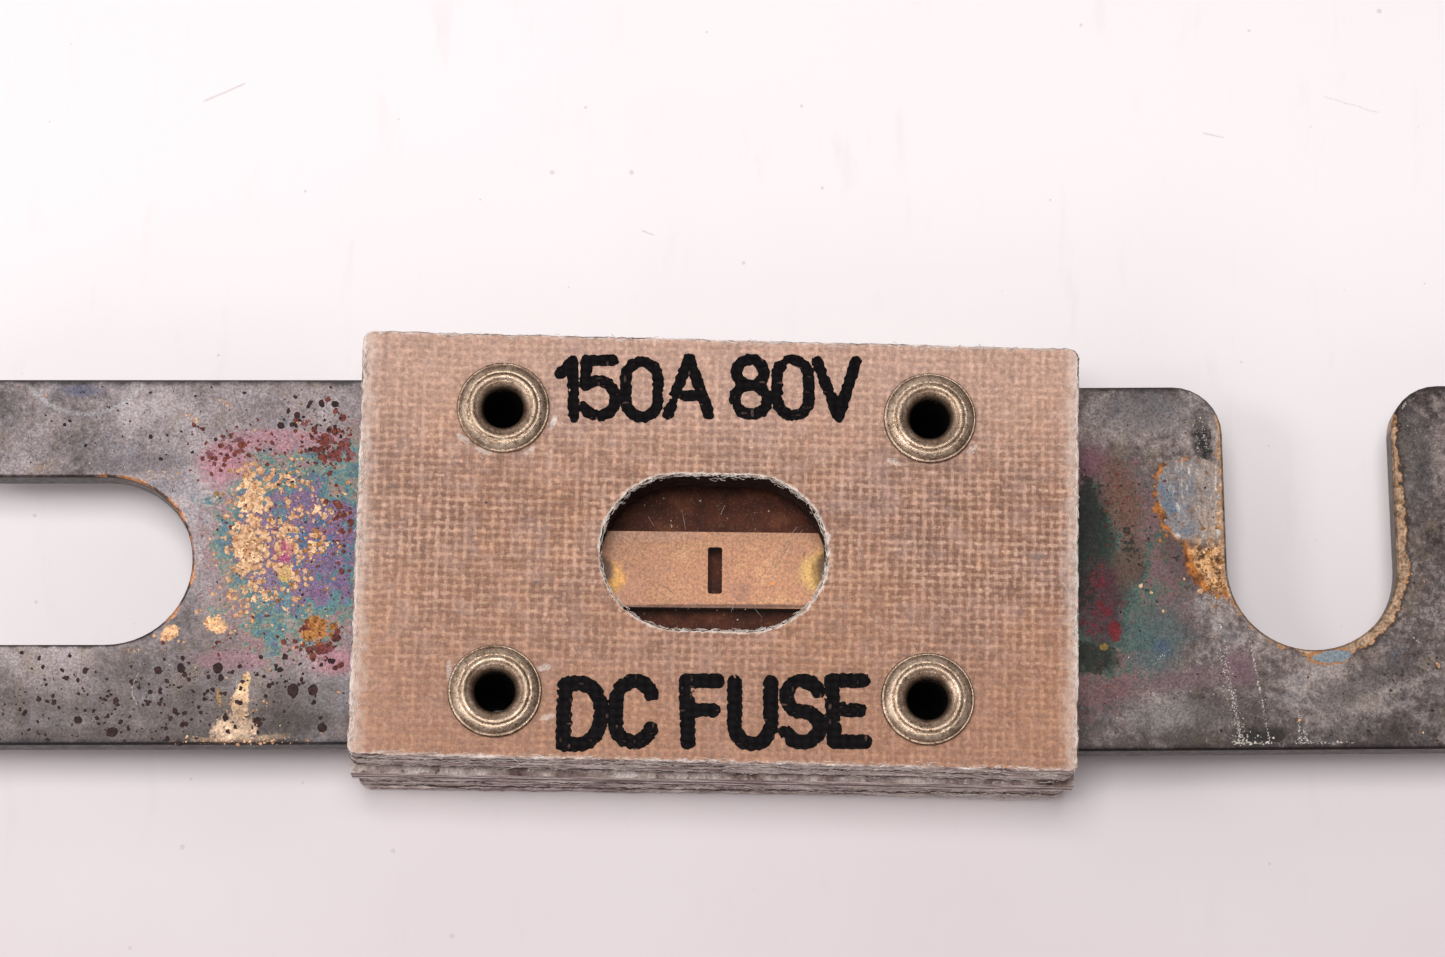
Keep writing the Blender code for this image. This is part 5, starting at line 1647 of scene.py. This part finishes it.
eyelet = {
    # The shank is narrower than the bore above it, so that no table shows through
    "boreRadius": 1.00, "shankRadius": 0.68, "wall": 0.25, "flangeRadius": 2.35, "rimThickness": 0.20,
    "ridges": (  # radius, height: turned lines on the outer slope, a groove, the crest, the mouth
        (2.26, 0.190), (2.21, 0.235), (2.18, 0.248), (2.13, 0.285), (2.05, 0.330),
        (1.97, 0.368), (1.89, 0.398), (1.83, 0.412), (1.79, 0.398), (1.75, 0.410),
        (1.69, 0.444), (1.62, 0.462), (1.54, 0.458), (1.46, 0.430), (1.40, 0.385),
    ),
    "rings": (  # radius, half width, softness, strength, colour
        # the pale rings are painted highlights, the dark ones at 1.785 and 2.18 dirt in the groove and a
        # turned line, and the one at 2.40 a painted contact shadow round the flange
        (1.94, 0.06, 0.10, 0.40, (226, 208, 184)), (1.58, 0.05, 0.12, 0.30, (214, 196, 172)),
        (2.27, 0.01, 0.04, 0.30, (200, 184, 162)), (1.785, 0.02, 0.05, 0.65, (84, 66, 46)),
        (2.18, 0.01, 0.04, 0.8, (82, 64, 46)), (2.40, 0.06, 0.05, 0.8, (70, 54, 38)),
    ),
    "funnelDepth": 0.75, "clinchRadius": 2.15, "clinchBend": 0.45,
    "flangeGap": 0.10, "steps": 96, "sweepRadius": 2.0, "dent": 0.02, "seed": 5, "lift": 0.006,
    "nudge": {  # whether it is on the right, and at the back: shift in x and y
        (False, False): (0.02, 0.03), (True, False): (-0.02, 0.07),
        (False, True): (0.04, 0.14), (True, True): (0.0, 0.07),
    },
}


def arcPoints(centre, radius, start, end, steps):
    points = []
    for index in range(steps + 1):
        angle = math.radians(start + (end - start) * index / steps)
        points.append((centre[0] + radius * math.cos(angle), centre[1] + radius * math.sin(angle)))
    return points


def eyeletSection(values):  # closed (radius, height) section, flange at the top, clinch at the bottom
    seat = coverTop + values["flangeGap"] * 0.3
    rim = values["rimThickness"] / 2
    bore = values["boreRadius"]
    outerFoot = (values["flangeRadius"] - rim, seat + rim)
    shank = values["shankRadius"]
    points = [(bore + values["wall"], seat)]
    points += arcPoints(outerFoot, rim, -90, 80, 8)
    for radius, height in values["ridges"]:
        points.append((radius, seat + height))
    lip, top = values["ridges"][-1]
    for index in range(1, 11):
        angle = math.pi / 2 * index / 10
        height = seat + top - values["funnelDepth"] * (1 - math.cos(angle))
        points.append((lip - (lip - bore) * math.sin(angle), height))
    bend = (shank + values["clinchBend"], values["clinchBend"] + tableLevel)
    points += arcPoints(bend, values["clinchBend"], 180, 270, 8)
    lip = values["wall"] / 2
    points += arcPoints((values["clinchRadius"] - lip, lip + tableLevel), lip, -90, 90, 6)
    points += arcPoints(bend, values["clinchBend"] - values["wall"], 270, 180, 6)
    return points


def makeEyeletTree():
    tree, given, result = startTree("eyeletTree", {
        "Sweep Radius": ("Float", 0.002), "Steps": ("Int", 96), "Corners": ("Vector", None),
        "Centre": ("Vector", None), "Turn": ("Float", 0.0), "Dent": ("Float", 0.00002),
        "Seed": ("Int", 0), "Material": ("Material", None),
    })
    section = geo(tree, "GeometryNodeMeshToCurve", {"Mesh": given["Geometry"]})
    circle = geo(tree, "GeometryNodeCurvePrimitiveCircle", {
        "Resolution": given["Steps"], "Radius": given["Sweep Radius"],
    })
    turned = geo(tree, "GeometryNodeCurveToMesh", {"Curve": circle, "Profile Curve": section})
    smooth = geo(tree, "GeometryNodeSetShadeSmooth", {0: turned})
    corners = split(tree, given["Corners"])
    grid = geo(tree, "GeometryNodeMeshGrid", {
        "Size X": corners[0], "Size Y": corners[1], "Vertices X": 2, "Vertices Y": 2,
    })
    turn = joined(tree, 0.0, 0.0, given["Turn"])
    placed = geo(tree, "GeometryNodeTransform", {
        "Geometry": grid, "Translation": given["Centre"], "Rotation": turn,
    })
    spin = anyTurn(tree, given["Seed"])
    copies = geo(tree, "GeometryNodeInstanceOnPoints", {
        "Points": placed, "Instance": smooth, "Rotation": spin,
    })
    real = geo(tree, "GeometryNodeRealizeInstances", {"Geometry": copies})
    position = geo(tree, "GeometryNodeInputPosition", {})
    lumps = addNode(tree, "ShaderNodeTexNoise")
    feed(tree, lumps.inputs["Vector"], position)
    lumps.inputs["Scale"].default_value = 900.0
    lumps.inputs["Detail"].default_value = 2.0
    away = vectors(tree, "SUBTRACT", lumps.outputs["Color"], (0.5, 0.5, 0.5))
    dented = geo(tree, "GeometryNodeSetPosition", {
        "Geometry": real, "Offset": scaled(tree, away, given["Dent"]),
    })
    endTree(tree, dented, given, result)
    return tree


def makeEyeletMetal(centre, turn, halfAcross, halfUpwards):  # nickel, with dirt in its turned lines, painted highlight rings, and painted shade down the funnel and in the bore
    made, tree, shader, place = startMaterial("eyeletNickel", 0.8, 0.35, 0.1)
    broad = grain(tree, place, 1.3, 2.0, 4.0, 0.6)
    colour = ramp(tree, broad, ((0.3, (120, 97, 80)), (0.5, (156, 131, 111)), (0.7, (194, 170, 150))))
    local = fromFrame(tree, place, centre, (0.0, 0.0, turn))
    away = [less(tree, absolute(tree, coordinate(tree, local, axis)), half)
            for axis, half in enumerate((halfAcross, halfUpwards))]
    radius = vectors(tree, "LENGTH", joined(tree, *away, 0.0))
    pits = grain(tree, place, 8.0, 12.0, 4.0, 0.75)
    streak = grain(tree, place, 3.0, 8.0, 5.0, 0.75)
    # rings round each eyelet: painted highlights, dirt in the groove and a turned line, and a painted contact
    # shadow at the flange's edge
    for line, half, soft, strength, shade in eyelet["rings"]:
        apart = absolute(tree, less(tree, radius, line))
        band = step(tree, apart, half, half + soft, strength, 0.0)
        ring = times(tree, band, step(tree, streak, 0.42, 0.56, 0.1, 1.0))
        colour = mixed(tree, ring, colour, tint(*shade))
    colour = mixed(tree, step(tree, pits, 0.35, 0.47, 0.9, 0.0), colour, tint(58, 43, 28))
    colour = mixed(tree, step(tree, pits, 0.55, 0.68, 0.0, 0.5), colour, tint(240, 224, 208))
    # painted shade: the funnel darkens with depth and the bore is painted black
    height = timesPlus(tree, broad, -0.3, coordinate(tree, place, 2))
    deep = step(tree, height, coverTop - 0.45, coverTop + 0.18, 1.0, 0.0)
    colour = mixed(tree, deep, colour, tint(44, 33, 20))
    sootAndShade = step(tree, height, coverTop - 0.9, coverTop - 0.25, 1.0, 0.0)
    colour = mixed(tree, sootAndShade, colour, tint(7, 4, 5))
    feed(tree, shader["Base Color"], colour)
    feed(tree, shader["Metallic"], timesPlus(tree, sootAndShade, -0.8, 0.8))
    polish = step(tree, streak, 0.38, 0.62, 0.26, 0.46)
    feed(tree, shader["Roughness"], larger(tree, polish, times(tree, sootAndShade, 0.95)))
    relief = times(tree, plus(tree, streak, pits), less(tree, 1.0, sootAndShade))
    feed(tree, shader["Normal"], bumped(tree, relief, 0.6, 0.03))
    return made


def buildEyelets(values):
    boxes = [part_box(name) for name in eyeletNodes]
    middles = [(low + high) / 2 for low, high in boxes]
    frontLeft, frontRight, backLeft, backRight = [Vector((middle.x, middle.y, 0.0)) for middle in middles]
    centre = (frontLeft + frontRight + backLeft + backRight) / 4
    across = frontRight - frontLeft
    upwards = backLeft - frontLeft
    section = bpy.data.meshes.new("eyeletSection")
    sweep = values["sweepRadius"]
    points = [((radius - sweep) * mm, -height * mm, 0.0) for radius, height in eyeletSection(values)]
    edges = [(index, (index + 1) % len(points)) for index in range(len(points))]
    section.from_pydata(points, edges, [])
    shift = Vector([sum(pair[axis] for pair in values["nudge"].values()) / 4 for axis in (0, 1)] + [0.0])
    metal = makeEyeletMetal(tuple(centre / mm + shift), math.atan2(across.y, across.x),
                            across.length / mm / 2, upwards.length / mm / 2)
    mesh = grow("eyelets", section, makeEyeletTree(), {
        "Sweep Radius": values["sweepRadius"] * mm, "Steps": values["steps"],
        "Corners": [across.length, upwards.length, 0.0], "Centre": list(centre),
        "Turn": math.atan2(across.y, across.x), "Dent": values["dent"] * mm, "Seed": values["seed"],
        "Material": metal,
    })
    shape = bmesh.new()
    shape.from_mesh(mesh)
    bmesh.ops.remove_doubles(shape, verts=shape.verts, dist=1e-7)
    bmesh.ops.recalc_face_normals(shape, faces=shape.faces)
    for vertex in shape.verts:
        x, y = values["nudge"][vertex.co.x > centre.x, vertex.co.y > centre.y]
        vertex.co += Vector((x, y, values["lift"])) * mm
    shape.to_mesh(mesh)
    shape.free()
    low = [min(v.co[axis] for v in mesh.vertices) / mm for axis in range(3)]
    high = [max(v.co[axis] for v in mesh.vertices) / mm for axis in range(3)]
    print("eyelets from", [round(v, 2) for v in low], "to", [round(v, 2) for v in high], len(mesh.polygons))
    return mesh


addPiece("eyelets", buildEyelets(eyelet), eyeletNodes)
print("eyelets set")


# Table, light and camera

studio = {
    "table": (247, 241, 242), "tableShadedFront": (212, 200, 203), "tableReach": 0.9,
    "worldStrength": 0.72, "rightShare": 0.45,
    "room": ((0.0, (150, 145, 146)), (0.3, (255, 250, 250)), (0.72, (240, 234, 235)), (0.9, (118, 112, 113))),
    "keyPower": 1.57, "keySize": (0.20, 0.18), "keyAt": (-0.04, 0.01, 0.50),
    "sidePower": 0.34, "sideSize": (0.11, 0.11), "sideAt": (-0.31, -0.015, 0.375),
    "marks": (
        # from x, y to x, y; width; how broken
        (-27.0, 26.5, -24.6, 27.6, 0.09, 0.35), (-3.5, 19.4, -2.8, 19.1, 0.06, 0.3),
        (26.6, 24.9, 27.8, 24.6, 0.07, 0.4), (-38.0, -19.5, -36.6, -18.2, 0.06, 0.4),
        (-21.2, -20.6, -19.0, -21.6, 0.06, 0.4), (33.0, 27.0, 36.2, 26.0, 0.05, 0.45),
    ),
}
view = {
    "lens": 114.30, "look": (0.633, 4.683, 4.65), "distance": 236.24,
    "tilt": 13.607, "pan": -1.367, "roll": -0.333,
}


def addTable(values):
    mesh = bpy.data.meshes.new("table")
    reach = values["tableReach"]
    corners = [(x * reach, y * reach, 0) for x, y in ((-1, -1), (1, -1), (1, 1), (-1, 1))]
    mesh.from_pydata(corners, [], [(0, 1, 2, 3)])
    made, tree, shader, place = startMaterial("paleTable", 0.0, 0.5)
    cloud = grain(tree, place, 0.05, 1.0, 4.0)
    cloud = less(tree, cloud, 0.5)
    # painted light: the table's colour falls from the back to a darker shade at the front
    fall = timesPlus(tree, cloud, 0.3, step(tree, coordinate(tree, place, 1), -34.0, 26.0))
    colour = mixed(tree, fall, tint(*values["tableShadedFront"]), tint(*values["table"]))
    smudge = grain(tree, stretched(tree, place, (0.6, 0.14, 1.0)), 1.0, 5.0, 4.0)
    colour = mixed(tree, step(tree, smudge, 0.56, 0.76, 0.0, 0.17), colour, tint(206, 196, 198))
    marks = [(*mark, (196, 180, 176)) for mark in values["marks"]]
    colour = paintScratches(tree, place, colour, marks, 0.45)
    dust = useGroup(tree, speckField, {"Vector": place, "Per mm": 0.22, "Size": 0.035, "Share": 0.6})
    colour = mixed(tree, times(tree, dust["Mask"], 0.4), colour, tint(186, 168, 164))
    feed(tree, shader["Base Color"], colour)
    mesh.materials.append(made)
    table = bpy.data.objects.new("table", mesh)
    scene.collection.objects.link(table)


def addLight(name, power, size, at, aim):
    lamp = bpy.data.lights.new(name, "AREA")
    lamp.shape = "RECTANGLE"
    lamp.size, lamp.size_y = size
    lamp.energy = power
    holder = bpy.data.objects.new(name, lamp)
    holder.location = at
    holder.rotation_euler = (Vector(aim) - Vector(at)).to_track_quat("-Z", "Y").to_euler()
    scene.collection.objects.link(holder)


def addCamera(values):
    tilt, pan, roll = [math.radians(values[name]) for name in ("tilt", "pan", "roll")]
    back = Vector((math.sin(pan) * math.cos(tilt), -math.sin(tilt), math.cos(tilt) * math.cos(pan)))
    back.normalize()
    right = Vector((0.0, 1.0, 0.0)).cross(back).normalized()
    up = back.cross(right)
    across = right * math.cos(roll) + up * math.sin(roll)
    upwards = up * math.cos(roll) - right * math.sin(roll)
    lens = bpy.data.cameras.new("camera")
    lens.lens = values["lens"]
    lens.sensor_width = 36.0
    lens.clip_start, lens.clip_end = 0.01, 5.0
    camera = bpy.data.objects.new("camera", lens)
    stand = Matrix((across, upwards, back)).transposed().to_4x4()
    stand.translation = (Vector(values["look"]) + back * values["distance"]) * mm
    camera.matrix_world = stand
    scene.collection.objects.link(camera)
    scene.camera = camera


addTable(studio)
addLight("key", studio["keyPower"], studio["keySize"], studio["keyAt"], (0.0, 0.0, 0.0))
addLight("side", studio["sidePower"], studio["sideSize"], studio["sideAt"], (0.0, 0.0, 0.0))
world = bpy.data.worlds.new("studio")
world.use_nodes = True
room = world.node_tree
towards = addNode(room, "ShaderNodeTexCoord").outputs["Generated"]
sky = ramp(room, coordinate(room, towards, 2), studio["room"])
dimmer = step(room, coordinate(room, towards, 0), -0.2, 0.8, 1.0, studio["rightShare"])
sky = shaded(room, sky, dimmer)
feed(room, room.nodes["Background"].inputs["Color"], sky)
room.nodes["Background"].inputs["Strength"].default_value = studio["worldStrength"]
scene.world = world
scene.view_settings.view_transform = "Standard"
addCamera(view)
print("studio set")
